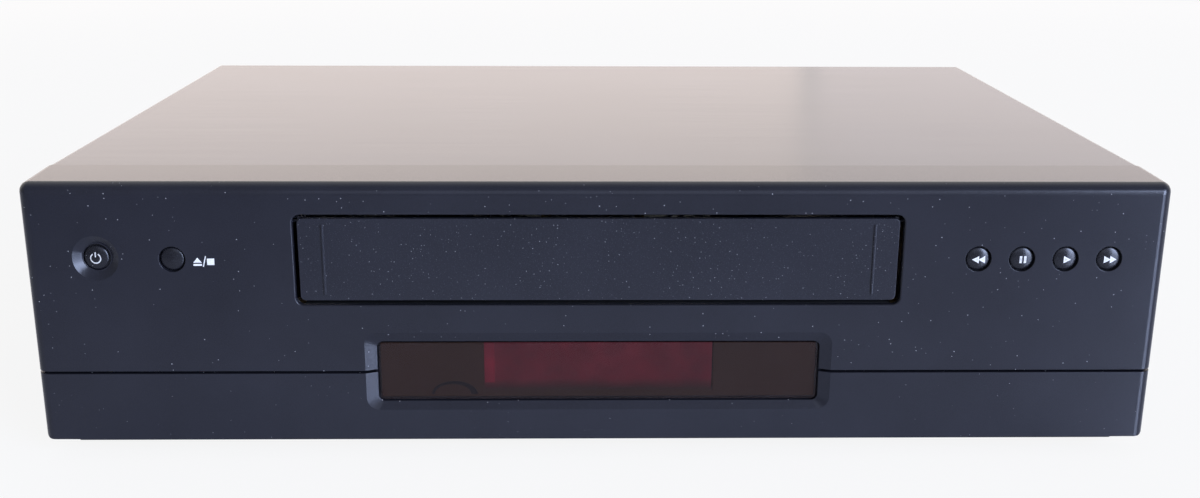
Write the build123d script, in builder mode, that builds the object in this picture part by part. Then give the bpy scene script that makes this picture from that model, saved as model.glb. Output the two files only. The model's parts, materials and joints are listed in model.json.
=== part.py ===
"""A front-loading video cassette recorder, in millimetres.

+X is the viewer's right, +Y runs to the rear and +Z is up. The origin lies
under the middle of the case, on the surface that the feet stand on.
"""
from build123d import *
import math
import os

os.makedirs("parts", exist_ok=True)

# ---- driving dimensions: the case ----
panel_width = 432.8        # front panel, side to side at the seam
panel_draft = 1.4          # each side stands in by this much at the face
panel_height = 102.5       # flap's lower edge to the panel's top
body_depth = 295.5         # panel face to the cover's rear edge
socket_reach = 6.5         # rear sockets stand this far behind the cover
foot_height = 8.0          # floor to the flap's lower edge
foot_radius = 12.0
panel_return = 32.0        # the front panel wraps back this far
panel_wall = 2.6
corner_radius = 4.5        # front corners and the panel's top front edge
side_radius = 3.5          # along the panel's top side edges
cover_step = 0.6           # the metal cover is narrower than the panel, each side
cover_drop = 0.3           # and lies this much below the panel's top
sheet = 1.0                # steel sheet of the cover and the rear panel
bend_radius = 3.0
seam_gap = 0.6             # between the front panel and the cover
lip_reach = 5.0            # the panel's lip under the cover
floor_wall = 2.0           # the chassis floor
chassis_rim = 24.0         # the chassis's side walls, from its floor's top
chassis_front_step = 6.0   # the side walls start this far behind the seam
screw_rise = 0.5           # heads of the cover's side screws

# ---- driving dimensions: the front flap ----
split_height = 28.05       # split line above the flap's lower edge
split_gap = 1.0
flap_depth = 7.5
flap_floor = 2.2
flap_corner_radius = 3.0   # lower corners, seen from the front
flap_lip_half = 201.6      # the lip along the flap's lower edge
flap_lip_drop = 0.45
flap_lip_inset = 0.3
hinge_back = 6.0           # flap pivot behind the face
hinge_up = 5.2             # and above the flap's lower edge
flap_pin_radius = 1.3
flap_pin_length = 4.6
flap_pin_clearance = 0.06
flap_lug_radius = 2.7
flap_lug_width = 3.2
flap_swing = 6.2           # clear radius behind the pivot
recess_back = 13.5         # wall behind the flap, from the face

# ---- driving dimensions: the cassette slot and its door ----
slot_half = 114.65
slot_low = 55.2            # above the flap's lower edge, as the next ones are
slot_high = 90.55
slot_radius = 3.0
slot_chamfer = 0.4
door_side_gap = 1.65
door_low = 56.9
door_high = 89.0
door_thickness = 2.5
door_set_back = 0.8
door_corner_radius = 2.0
rib_inset = 9.3            # from the door's ends
rib_width = 0.8
rib_rise = 0.5
rib_margin = 2.4
door_hinge_back = 5.5      # door pivot behind the face
door_hinge_down = 1.2      # and below the door's top edge
door_pin_radius = 1.4
door_pin_clearance = 0.06
door_lug_width = 2.6
door_ear_width = 2.6

# ---- driving dimensions: the display window ----
window_half = 85.2         # opening in the panel
window_low = 15.6
window_high = 40.0
window_radius = 2.4
window_gap = 0.6
window_thickness = 2.0
bevel_half = 89.7
bevel_low = 12.5
bevel_high = 44.1
bevel_radius = 5.0
bevel_depth = 1.8
carrier_wall = 2.0         # plate behind the window
display_half = 49.8
display_low = 22.6
display_high = 38.9
receiver_centre = -56.0
receiver_width = 18.0
receiver_height = 5.5
receiver_rise = 1.9        # above the window's lower edge

# ---- driving dimensions: buttons ----
button_hole = 4.95         # radii
button_gap = 0.6
button_set_back = 0.2
button_travel = 1.2
button_flange = 1.2
button_rim = 0.8
button_stem = 2.0
power_inset = 26.55        # from the face's left edge
power_z = 73.8
power_hole = 5.1
dish_radius = 8.65
dish_depth = 1.9
dish_floor = 0.5
eject_inset = 54.95
button_row_z = 73.4
transport_inset = 71.55    # first of the four transport buttons, from the right edge
transport_pitch = 16.58
key_inset = 65.0           # first of the three keys behind the flap
key_pitch = 20.0
key_z = 18.0
key_hole = 4.2
key_rise = 4.0
socket_inset = 23.0        # first of the three sockets behind the flap
socket_pitch = 18.0
socket_height = 18.0
socket_stand = 6.0

# ---- driving dimensions: cassette and its carriage ----
cassette_width = 187.0
cassette_depth = 103.0
cassette_height = 25.0
cassette_clearance = 0.6
cassette_low = 56.8        # cassette's underside above the flap's lower edge
slide_travel = 51.0
lower_travel = 20.0
carriage_front = 39.0      # holder's front edge behind the face
holder_sheet = 1.2
holder_ledge = 12.0
holder_pin_radius = 2.0
guide_sheet = 1.6
guide_clearance = 0.3
guide_top = 97.0
slider_sheet = 1.2
runner_rise = 1.0          # runners between a slider and its guide

# ---- driving dimensions: the tape deck; places run back from its front edge ----
deck_height = 36.0
deck_sheet = 1.5
deck_side = 5.9            # the deck plate reaches this far outside the guides
deck_back = 81.0           # its front edge behind the face
deck_length = 180.0
deck_flange = 3.0
pillar_radius = 5.0
pillar_inset = 8.0
drum_back = 150.0
drum_radius = 31.0
drum_tilt = 6.0
lower_drum_height = 16.0
upper_drum_height = 16.0
drum_gap = 0.5
drum_shaft = 3.0
running_clearance = 0.05
reel_x = 46.0
reel_back = 62.0
reel_radius = 20.0
reel_disc = 4.8
reel_shaft = 1.5
reel_hub = 7.0
reel_top = 16.0
pulley_back = 52.0
pulley_radius = 12.0
idler_radius = 13.0
capstan_x = 46.0
capstan_back = 112.0
capstan_radius = 2.0
bearing_radius = 4.9
bearing_rise = 4.0
capstan_top = 62.0
flywheel_radius = 24.0
flywheel_thickness = 6.0
pinch_x = 72.0
pinch_back = 122.0
pinch_length = 24.7
pinch_rest = 258.0         # degrees from +X, arm at rest
pinch_roller_radius = 7.0
pinch_roller_height = 14.0
track_start = (24.0, 104.0)
track_end = (46.0, 158.0)
track_slot = 1.8
guide_post_height = 17.0
loading_x = -69.0
loading_back = 151.0
loading_radius = 14.0
worm_radius = 4.0
worm_height = 10.0
mesh_gap = 0.4             # between the worm and the loading wheel
worm_length = 20.0
tension_x = -70.0
tension_back = 100.0
tension_length = 26.0
tension_rest = 10.0
erase_x = -58.0
erase_back = 128.0
audio_x = 58.0
audio_back = 135.0

# ---- driving dimensions: boards ----
board = 1.6
board_boss = 3.0
boss_radius = 3.5
board_margin = 8.8         # from the cover's inside
power_board_width = 78.0
power_board_length = 142.3
main_board_left = 112.0
main_board_strip = 22.3    # the strip that carries the rear sockets
main_board_back = 51.0     # the main board's front edge behind the face

# ---- places worked out from the sizes above ----
total_depth = body_depth + socket_reach
face_y = -total_depth / 2
cover_rear = face_y + body_depth
socket_end = total_depth / 2
base_z = foot_height
top_z = base_z + panel_height
half_width = panel_width / 2
face_half = half_width - panel_draft
seam_y = face_y + panel_return
wall_back = face_y + panel_wall
inner_half = face_half - panel_wall
cover_half = half_width - cover_step
cover_inner = cover_half - sheet
cover_top = top_z - cover_drop
cover_ceiling = cover_top - sheet
floor_low = base_z + floor_wall
floor_top = floor_low + floor_wall
rim_top = floor_top + chassis_rim
rear_face = cover_rear - 0.2
rear_inner = rear_face - sheet
flap_rear_half = face_half + panel_draft * flap_depth / panel_return
flap_top = base_z + split_height - split_gap / 2
panel_low = base_z + split_height + split_gap / 2
pivot_y = face_y + hinge_back
pivot_z = base_z + hinge_up
recess_y = face_y + recess_back
recess_wall_back = recess_y + panel_wall - 0.4
shelf_top = panel_low + 2.4
window_front = face_y + bevel_depth
window_back = window_front + window_thickness
carrier_back = window_back + carrier_wall
receiver_low = base_z + window_low + receiver_rise
door_front = face_y + door_set_back
door_back = door_front + door_thickness
door_half = slot_half - door_side_gap
rib_centre = door_half - rib_inset
door_pivot_y = face_y + door_hinge_back
door_pivot_z = base_z + door_high - door_hinge_down
board_front = face_y + 12.0
board_back = board_front + board
key_board_front = recess_wall_back + 7.6
power_x = power_inset - face_half
eject_x = eject_inset - face_half
transport_x = face_half - transport_inset
key_x = face_half - key_inset
deck_top = deck_height + deck_sheet
carriage_y = face_y + carriage_front
holder_half = cassette_width / 2 + cassette_clearance
ledge_top = base_z + cassette_low
holder_top = ledge_top + cassette_height + 1.4
guide_inner = holder_half + holder_sheet + 3.2
board_low = floor_top + board_boss
board_top = board_low + board
deck_half = guide_inner + guide_sheet + deck_side
deck_front = face_y + deck_back
deck_rear = deck_front + deck_length
drum_low = deck_top + 8.5
drum_y = deck_front + drum_back
reel_y = deck_front + reel_back
pulley_y = deck_front + pulley_back
capstan_y = deck_front + capstan_back
pinch_y = deck_front + pinch_back
loading_y = deck_front + loading_back
worm_y = loading_y + loading_radius + worm_radius + mesh_gap
tension_y = deck_front + tension_back
erase_y = deck_front + erase_back
audio_y = deck_front + audio_back
board_rear = rear_inner - 1
power_board_left = board_margin - cover_inner
power_board_front = board_rear - power_board_length
main_board_right = cover_inner - board_margin
main_board_front = face_y + main_board_back
strip_front = board_rear - main_board_strip
switch_size = 6.0
switch_depth = 3.5

transport_names = ["rewind_button", "pause_button", "play_button", "fast_forward_button"]
key_names = ["programme_down_button", "programme_up_button", "record_button"]
low_corner = (Align.MIN, Align.MIN, Align.MIN)
on_base = (Align.CENTER, Align.CENTER, Align.MIN)
pillar_x = deck_half - pillar_inset
pillar_places = [(x, y) for x in (-pillar_x, pillar_x) for y in (deck_front + 10, deck_rear - 10)]
socket_x = [socket_inset - face_half + i * socket_pitch for i in range(3)]
socket_z = base_z + socket_height
line_x = [-62.0, -78.0]
line_z = board_top + 8.0
scart_x = [62.0, -4.0]
scart_low = board_top
aerial_x = main_board_right - 57.0
aerial_z = [board_top + 17.4, board_top + 41.4]
inlet_x = power_board_left + 28.0
inlet_low = board_top
cover_screws = [(face_y + 91, base_z + 16), (cover_rear - 49.5, base_z + 16)]
vent_x = face_half - 50


def finish(part, label):
    """Label a finished piece and write its file."""
    part.label = label
    export_step(part, f"parts/{label}.step")
    print(label, round(part.volume, 1), len(part.solids()))


def front_plane(y):
    """A plane that faces the viewer at depth y: its x is +X and its y is +Z."""
    return Plane(origin=(0, y, 0), x_dir=(1, 0, 0), z_dir=(0, -1, 0))


def block(low, high, mode=Mode.ADD):
    """A box between two corners."""
    size = [b - a for a, b in zip(low, high)]
    with Locations(tuple(low)):
        Box(*size, align=low_corner, mode=mode)


def post(x, y, z, radius, height, mode=Mode.ADD):
    """An upright cylinder that stands on height z."""
    with Locations((x, y, z)):
        Cylinder(radius, height, align=on_base, mode=mode)


def rod_x(x, y, z, radius, length, mode=Mode.ADD):
    """A cylinder that runs along +X from a point."""
    with Locations((x, y, z)):
        Cylinder(radius, length, rotation=(0, 90, 0), align=on_base, mode=mode)


def rod_y(x, y, z, radius, length, mode=Mode.ADD):
    """A cylinder that runs along +Y from a point."""
    with Locations((x, y, z)):
        Cylinder(radius, length, rotation=(-90, 0, 0), align=on_base, mode=mode)


def tapered_block(rear, rear_half, low, high):
    """The panel's outer form from its face back to a depth, where it is wider."""
    with BuildSketch(Plane.XY.offset(low)) as plan:
        with BuildLine():
            Polyline((-face_half, face_y), (face_half, face_y), (rear_half, rear), (-rear_half, rear),
                     close=True)
        make_face()
    extrude(plan.sketch, amount=high - low)


def rounded_cut(y, depth, half, low, high, radius):
    """Cut a rounded rectangle from depth y towards the rear."""
    with BuildSketch(front_plane(y)) as outline:
        with Locations((0, (low + high) / 2)):
            RectangleRounded(2 * half, high - low, radius)
    extrude(outline.sketch, amount=-depth, mode=Mode.SUBTRACT)


def window_recess():
    """Cut the display window's bevel and opening, shared by panel and flap."""
    with BuildSketch(front_plane(face_y)) as outer:
        with Locations((0, base_z + (bevel_low + bevel_high) / 2)):
            RectangleRounded(2 * bevel_half, bevel_high - bevel_low, bevel_radius)
    with BuildSketch(front_plane(window_front)) as inner:
        with Locations((0, base_z + (window_low + window_high) / 2)):
            RectangleRounded(2 * window_half, window_high - window_low, window_radius)
    loft([outer.sketch, inner.sketch], mode=Mode.SUBTRACT)
    rounded_cut(window_front, panel_wall, window_half,
                base_z + window_low, base_z + window_high, window_radius)


# ---------------------------------------------------------------- the case
with BuildPart() as base_chassis:
    block((-cover_inner, seam_y + chassis_front_step, floor_low), (cover_inner, rear_inner, floor_top))
    block((-inner_half + 8, recess_wall_back + 0.3, floor_low),
          (inner_half - 8, seam_y + chassis_front_step, floor_top))
    for side in (-1, 1):
        x0, x1 = sorted((side * cover_inner, side * (cover_inner - floor_wall)))
        block((x0, seam_y + chassis_front_step, floor_top), (x1, rear_inner, rim_top))
    # stiffening ribs
    for y in (face_y + 61, face_y + 131, face_y + 201):
        block((-deck_half - 2, y, floor_top), (deck_half + 2, y + 1.8, floor_top + 2.5))
    for x in (-deck_half - 6, deck_half + 2):
        block((x, main_board_front, floor_top), (x + 1.8, strip_front - 4, floor_top + 2.5))
    # pillars under the tape deck
    for x, y in pillar_places:
        post(x, y, floor_top, pillar_radius, deck_height - floor_top)
    # bosses under the boards
    for x in (power_board_left + 8, power_board_left + power_board_width - 8):
        for y in (power_board_front + 10, board_rear - 10):
            post(x, y, floor_top, boss_radius, board_boss)
    for x in (main_board_left + 10, main_board_right - 8):
        for y in (main_board_front + 10, (main_board_front + board_rear) / 2, board_rear - 10):
            post(x, y, floor_top, boss_radius, board_boss)
    for x in (line_x[1] - 12, scart_x[1] + 34):
        post(x, board_rear - 8, floor_top, boss_radius, board_boss)
    # cooling slots through the floor
    with BuildSketch(Plane.XY.offset(floor_low)):
        with GridLocations(9, 60, 8, 2):
            SlotOverall(40, 3, rotation=90)
        with Locations((-vent_x, face_y + 91)):
            with GridLocations(8, 1, 8, 1):
                SlotOverall(44, 3, rotation=90)
    extrude(amount=floor_wall, mode=Mode.SUBTRACT)
    # screw holes in the side walls
    for y, z in cover_screws:
        rod_x(-cover_inner - 1, y, z, 1.6, 2 * cover_inner + 2, mode=Mode.SUBTRACT)
finish(base_chassis.part, "base_chassis")

with BuildPart() as feet:
    for x in (-vent_x, vent_x):
        for y in (face_y + 46, cover_rear - 34):
            with Locations((x, y, 0)):
                Cone(foot_radius - 1, foot_radius, floor_low, align=on_base)
    fillet(feet.edges().group_by(Axis.Z)[0], 1.0)
finish(feet.part, "feet")

with BuildPart() as top_cover:
    with BuildSketch(front_plane(seam_y + seam_gap)):
        with BuildLine():
            FilletPolyline((-cover_half, floor_low), (-cover_half, cover_top),
                           (cover_half, cover_top), (cover_half, floor_low), radius=bend_radius)
            Line((cover_half, floor_low), (cover_inner, floor_low))
            FilletPolyline((cover_inner, floor_low), (cover_inner, cover_ceiling),
                           (-cover_inner, cover_ceiling), (-cover_inner, floor_low),
                           radius=bend_radius - sheet)
            Line((-cover_inner, floor_low), (-cover_half, floor_low))
        make_face()
    extrude(amount=-(cover_rear - seam_y - seam_gap))
    # cooling slots in both side walls
    with BuildSketch(Plane.YZ.offset(-half_width)):
        for row_z in (base_z + 52, base_z + 76):
            with Locations((cover_rear - 58.5, row_z)):
                with GridLocations(6, 1, 14, 1):
                    SlotOverall(18, 2.4, rotation=90)
    extrude(amount=panel_width, mode=Mode.SUBTRACT)
    for y, z in cover_screws:
        rod_x(-half_width, y, z, 1.7, panel_width, mode=Mode.SUBTRACT)
finish(top_cover.part, "top_cover")

with BuildPart() as screws:
    for y, z in cover_screws:
        rod_x(cover_half, y, z, 3.4, screw_rise)
        rod_x(cover_inner - floor_wall - 3, y, z, 1.5, floor_wall + 3 + sheet)
        rod_x(-cover_half - screw_rise, y, z, 3.4, screw_rise)
        rod_x(-cover_half, y, z, 1.5, floor_wall + 3 + sheet)
finish(screws.part, "cover_screws")

with BuildPart() as rear_panel:
    block((-cover_inner, rear_inner, floor_low), (cover_inner, rear_face, cover_ceiling - bend_radius))
    block((-cover_inner + bend_radius, rear_inner, cover_ceiling - bend_radius),
          (cover_inner - bend_radius, rear_face, cover_ceiling))
    # cooling slots
    with BuildSketch(front_plane(rear_inner)):
        with Locations((-vent_x, base_z + 72)):
            with GridLocations(6, 1, 13, 1):
                SlotOverall(26, 2.6, rotation=90)
        with Locations((20, base_z + 80)):
            with GridLocations(6, 1, 19, 1):
                SlotOverall(20, 2.6, rotation=90)
    extrude(amount=-sheet, mode=Mode.SUBTRACT)
    # cut-outs for the sockets
    for x in scart_x:
        block((x - 24, rear_inner, scart_low + 0.8), (x + 24, rear_face, scart_low + 15.2),
              mode=Mode.SUBTRACT)
    for x in line_x:
        rod_y(x, rear_inner, line_z, 4.5, sheet, mode=Mode.SUBTRACT)
    for z in aerial_z:
        rod_y(aerial_x, rear_inner, z, 6.8, sheet, mode=Mode.SUBTRACT)
    block((inlet_x - 12.3, rear_inner, inlet_low + 0.7), (inlet_x + 12.3, rear_face, inlet_low + 16.3),
          mode=Mode.SUBTRACT)
finish(rear_panel.part, "rear_panel")

# ---------------------------------------------------------------- the front panel
with BuildPart() as front_fascia:
    tapered_block(seam_y, half_width, base_z, top_z)
    front_edges = front_fascia.faces().sort_by(Axis.Y)[0].edges()
    fillet(front_edges.filter_by(Axis.Z) + front_edges.filter_by(Axis.X).sort_by(Axis.Z)[-1:],
           corner_radius)
    top_edges = front_fascia.faces().sort_by(Axis.Z)[-1].edges()
    fillet(top_edges.filter_by(lambda edge: abs(edge.center().X) > face_half - 1), side_radius)
    block((-inner_half, wall_back, floor_low), (inner_half, seam_y, top_z - panel_wall),
          mode=Mode.SUBTRACT)
    # room for the flap and for its swing
    block((-half_width, face_y, base_z), (half_width, face_y + flap_depth + 0.5, panel_low),
          mode=Mode.SUBTRACT)
    rod_x(-half_width, pivot_y, pivot_z, flap_swing, panel_width, mode=Mode.SUBTRACT)
    block((-half_width, face_y, base_z), (half_width, pivot_y + flap_swing, pivot_z),
          mode=Mode.SUBTRACT)
    # the shelf over the flap and the wall behind it
    block((-inner_half, wall_back, panel_low), (inner_half, recess_wall_back, shelf_top))
    block((-inner_half, recess_y, base_z), (inner_half, recess_wall_back, shelf_top))
    # carrier behind the display window
    block((-window_half - 1.4, window_back, base_z + window_low - 2),
          (window_half + 1.4, carrier_back, base_z + window_high + 3.6))
    block((-window_half - 1.4, wall_back, base_z + window_high + 0.8),
          (window_half + 1.4, window_back, base_z + window_high + 3.6))
    window_recess()
    block((-window_half, wall_back - 0.5, panel_low), (window_half, window_back, base_z + window_high),
          mode=Mode.SUBTRACT)
    block((-display_half - 0.6, window_back, base_z + display_low - 0.6),
          (display_half + 0.6, board_front + 0.1, base_z + display_high + 0.6), mode=Mode.SUBTRACT)
    block((receiver_centre - receiver_width / 2 - 0.6, window_back, receiver_low - 0.4),
          (receiver_centre + receiver_width / 2 + 0.6, carrier_back,
           receiver_low + receiver_height + 0.6), mode=Mode.SUBTRACT)
    # cassette slot, with its chamfered edge
    rounded_cut(face_y, panel_wall, slot_half, base_z + slot_low, base_z + slot_high, slot_radius)
    with BuildSketch(front_plane(face_y)):
        with Locations((0, base_z + (slot_low + slot_high) / 2)):
            RectangleRounded(2 * (slot_half + slot_chamfer),
                             slot_high - slot_low + 2 * slot_chamfer, slot_radius + slot_chamfer)
    extrude(amount=-slot_chamfer, taper=45, mode=Mode.SUBTRACT)
    # button holes, and the dish round the power button
    rod_y(power_x, face_y, base_z + power_z, power_hole, panel_wall, mode=Mode.SUBTRACT)
    with Locations((power_x, face_y, base_z + power_z)):
        Cone(dish_radius, power_hole + dish_floor, dish_depth, rotation=(-90, 0, 0),
             align=on_base, mode=Mode.SUBTRACT)
    for x in [eject_x] + [transport_x + i * transport_pitch for i in range(4)]:
        rod_y(x, face_y, base_z + button_row_z, button_hole, panel_wall, mode=Mode.SUBTRACT)
    for i in range(3):
        rod_y(key_x + i * key_pitch, recess_y, base_z + key_z, key_hole, panel_wall,
              mode=Mode.SUBTRACT)
    for x in socket_x:
        rod_y(x, recess_y, socket_z, 4.5, panel_wall, mode=Mode.SUBTRACT)
    for side in (-1, 1):
        # lugs for the flap's pins
        lug_x = side * (inner_half - 0.6) - (flap_lug_width if side > 0 else 0)
        rod_x(lug_x, pivot_y, pivot_z, flap_lug_radius, flap_lug_width)
        block((lug_x, pivot_y, pivot_z - flap_lug_radius),
              (lug_x + flap_lug_width, recess_y, pivot_z + flap_lug_radius))
        rod_x(lug_x, pivot_y, pivot_z, flap_pin_radius + flap_pin_clearance, flap_lug_width,
              mode=Mode.SUBTRACT)
        # lugs for the door's pins
        ear_x = side * (slot_half + 0.5) - (door_lug_width if side < 0 else 0)
        block((ear_x, wall_back, door_pivot_z - 3.2),
              (ear_x + door_lug_width, door_pivot_y + 3, door_pivot_z + 3.2))
        rod_x(ear_x, door_pivot_y, door_pivot_z, door_pin_radius + door_pin_clearance, door_lug_width,
              mode=Mode.SUBTRACT)
        # lip under the metal cover's side
        lip_x = side * cover_inner - (panel_wall if side > 0 else 0)
        block((lip_x, seam_y, base_z + 10), (lip_x + panel_wall, seam_y + lip_reach, top_z - 8))
        block((min(lip_x, side * cover_half), seam_y - panel_wall, base_z + 10),
              (max(lip_x + panel_wall, side * cover_half), seam_y, top_z - 8))
    # lip under the metal cover's top
    block((-cover_inner + 8, seam_y - panel_wall, cover_ceiling - 1.6),
          (cover_inner - 8, seam_y + lip_reach, cover_ceiling))
finish(front_fascia.part, "front_fascia")

with BuildPart() as whole_flap:
    flap_low = base_z + flap_lip_drop
    tapered_block(face_y + flap_depth, flap_rear_half, flap_low, flap_top)
    front_edges = whole_flap.faces().sort_by(Axis.Y)[0].edges()
    fillet(front_edges.filter_by(Axis.Z), corner_radius)
    # round the two lower corners
    with BuildSketch(front_plane(face_y)) as profile:
        with Locations((0, flap_low + split_height)):
            RectangleRounded(2 * flap_rear_half, 2 * split_height, flap_corner_radius)
    extrude(profile.sketch, amount=-flap_depth, mode=Mode.INTERSECT)
    block((-inner_half, wall_back, base_z + flap_floor), (inner_half, face_y + flap_depth, flap_top),
          mode=Mode.SUBTRACT)
    block((-flap_lip_half, face_y + flap_lip_inset, base_z),
          (flap_lip_half, face_y + flap_depth, base_z + flap_floor))
    window_recess()
    for side in (-1, 1):
        # room for the hinge lug, then the hinge pin
        x0, x1 = sorted((side * inner_half, side * (inner_half - flap_lug_width - 1.4)))
        block((x0, wall_back, base_z), (x1, face_y + flap_depth, base_z + flap_floor + 1),
              mode=Mode.SUBTRACT)
        pin_x = side * inner_half - (flap_pin_length if side > 0 else 0)
        rod_x(pin_x, pivot_y, pivot_z, flap_pin_radius, flap_pin_length)

# the flap's outer plate
with BuildPart() as front_flap:
    add(whole_flap.part)
    block((-half_width, wall_back, 0), (half_width, recess_y, top_z), mode=Mode.SUBTRACT)
finish(front_flap.part, "front_flap")

# the sill and the two ends behind that plate, with the hinge pins
with BuildPart() as flap_returns:
    add(whole_flap.part)
    block((-half_width, face_y, 0), (half_width, wall_back, top_z), mode=Mode.SUBTRACT)
finish(flap_returns.part, "flap_returns")

with BuildPart() as cassette_door:
    with BuildSketch(front_plane(door_back)):
        with Locations((0, base_z + (door_low + door_high) / 2)):
            RectangleRounded(2 * door_half, door_high - door_low, door_corner_radius)
    extrude(amount=door_thickness)
    for side in (-1, 1):
        rib_x = side * rib_centre
        block((rib_x - rib_width / 2, door_front - rib_rise, base_z + door_low + rib_margin),
              (rib_x + rib_width / 2, door_front, base_z + door_high - rib_margin))
        x0, x1 = sorted((side * door_half, side * (door_half - door_ear_width)))
        block((x0, door_back, door_pivot_z - 3), (x1, door_pivot_y + 2, door_pivot_z + door_hinge_down))
        reach = door_side_gap + 0.5 + door_lug_width + (4.5 if side > 0 else 0.3)
        rod_x(side * door_half - (reach if side < 0 else 0), door_pivot_y, door_pivot_z,
              door_pin_radius, reach)
    # stiffening ribs on the inside
    block((-door_half + 8, door_back, base_z + door_low + 1.5),
          (door_half - 8, door_back + 1.2, base_z + door_low + 3))
finish(cassette_door.part, "cassette_door")

with BuildPart() as door_spring:
    coil_x = slot_half + 0.5 + door_lug_width + 0.2
    rod_x(coil_x, door_pivot_y, door_pivot_z, door_pin_radius + 1.1, 3.6)
    block((coil_x, wall_back, door_pivot_z + 1.7), (coil_x + 0.8, door_pivot_y, door_pivot_z + 2.5))
    rod_x(coil_x, door_pivot_y, door_pivot_z, door_pin_radius + 0.3, 3.6, mode=Mode.SUBTRACT)
finish(door_spring.part, "door_spring")

with BuildPart() as display_window:
    with BuildSketch(front_plane(window_back)):
        with Locations((0, base_z + (window_low + window_high) / 2)):
            RectangleRounded(2 * (window_half - window_gap),
                             window_high - window_low - 2 * window_gap, window_radius - window_gap)
    extrude(amount=window_thickness)
    fillet(display_window.faces().sort_by(Axis.Y)[0].edges(), 0.3)
finish(display_window.part, "display_window")

with BuildPart() as display_module:
    block((-display_half, window_back + 0.6, base_z + display_low),
          (display_half, board_front, base_z + display_high))
    fillet(display_module.edges().filter_by(Axis.Y), 0.8)
    with BuildSketch(front_plane(window_back + 0.6)):
        with Locations((0, base_z + (display_low + display_high) / 2)):
            RectangleRounded(2 * display_half - 5, display_high - display_low - 3, 0.8)
    extrude(amount=-0.6, mode=Mode.SUBTRACT)
finish(display_module.part, "display_module")

with BuildPart() as infrared_receiver:
    with BuildSketch(front_plane(carrier_back)):
        with Locations((receiver_centre, receiver_low)):
            Ellipse(receiver_width / 2, receiver_height)
            Rectangle(receiver_width, receiver_height, align=(Align.CENTER, Align.MAX),
                      mode=Mode.SUBTRACT)
    extrude(amount=carrier_wall - 0.4)
    block((receiver_centre - 5, carrier_back, receiver_low),
          (receiver_centre + 5, recess_y, receiver_low + receiver_height - 1))
finish(infrared_receiver.part, "infrared_receiver")


# ---------------------------------------------------------------- buttons and keys
def push_button(name, x, z, front, back, hole, stem_end):
    """A round button behind a wall: cap, retaining flange and stem."""
    with BuildPart() as button:
        rod_y(x, front, z, hole - button_gap, back + 0.3 - front)
        fillet(button.faces().sort_by(Axis.Y)[0].edges(), button_rim)
        rod_y(x, back + 0.3, z, hole + 1.2, button_flange)
        rod_y(x, back + 0.3 + button_flange, z, button_stem, stem_end - back - 0.3 - button_flange)
    finish(button.part, name)


stem_end = board_front - switch_depth - button_travel - 0.3
push_button("power_button", power_x, base_z + power_z, face_y + dish_depth - 1.2, wall_back, power_hole,
            stem_end)
push_button("eject_stop_button", eject_x, base_z + button_row_z, face_y + button_set_back, wall_back,
            button_hole, stem_end)
for i, name in enumerate(transport_names):
    push_button(name, transport_x + i * transport_pitch, base_z + button_row_z,
                face_y + button_set_back, wall_back, button_hole, stem_end)
key_stem_end = key_board_front - switch_depth - button_travel - 0.3
for i, name in enumerate(key_names):
    push_button(name, key_x + i * key_pitch, base_z + key_z, recess_y - key_rise, recess_wall_back,
                key_hole, key_stem_end)

with BuildPart() as front_board:
    block((-inner_half + 5, board_front, shelf_top),
          (inner_half - 5, board_back, base_z + slot_low - 1.5))
    for side in (-1, 1):
        x0, x1 = sorted((side * (slot_half + 8), side * (inner_half - 5)))
        block((x0, board_front, shelf_top), (x1, board_back, top_z - 12))
    block((key_x - 14, key_board_front, floor_top),
          (inner_half - 12, key_board_front + board, shelf_top - 2))
finish(front_board.part, "front_board")

with BuildPart() as tact_switches:
    half = switch_size / 2
    button_places = [(power_x, power_z), (eject_x, button_row_z)]
    button_places += [(transport_x + i * transport_pitch, button_row_z) for i in range(4)]
    for x, z in button_places:
        block((x - half, board_front - switch_depth, base_z + z - half),
              (x + half, board_front, base_z + z + half))
    for i in range(3):
        x = key_x + i * key_pitch
        block((x - half, key_board_front - switch_depth, base_z + key_z - half),
              (x + half, key_board_front, base_z + key_z + half))
finish(tact_switches.part, "tact_switches")


def phono_socket(x, z, wall_y, tip_y, direction):
    """A phono socket on a wall: flange, barrel with its bore, and body behind."""
    length = abs(tip_y - wall_y)
    start = min(wall_y, tip_y)
    rod_y(x, start, z, 4.15, length)
    flange_y = wall_y - (1 if direction < 0 else 0)
    rod_y(x, flange_y, z, 5.8, 1)
    bore_y = tip_y if direction < 0 else tip_y - 8
    rod_y(x, bore_y, z, 1.65, 8, mode=Mode.SUBTRACT)
    ring_y = tip_y if direction < 0 else tip_y - 5
    with BuildSketch(front_plane(ring_y)) as ring:
        with Locations((x, z)):
            Circle(3.6)
            Circle(2.5, mode=Mode.SUBTRACT)
    extrude(ring.sketch, amount=-5, mode=Mode.SUBTRACT)


with BuildPart() as front_sockets:
    for x in socket_x:
        block((x - 5.5, recess_wall_back, socket_z - 6), (x + 5.5, recess_wall_back + 9, socket_z + 6))
        rod_y(x, recess_y, socket_z, 4.15, recess_wall_back - recess_y)
        phono_socket(x, socket_z, recess_y, recess_y - socket_stand, -1)
finish(front_sockets.part, "front_sockets")

# ---------------------------------------------------------------- boards and rear sockets
with BuildPart() as main_board:
    block((main_board_left, main_board_front, board_low), (main_board_right, board_rear, board_top))
    block((line_x[1] - 34, strip_front, board_low), (main_board_left, board_rear, board_top))
    for x, y in pillar_places:
        post(x, y, board_low, pillar_radius + 1, board, mode=Mode.SUBTRACT)
finish(main_board.part, "main_board")

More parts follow.
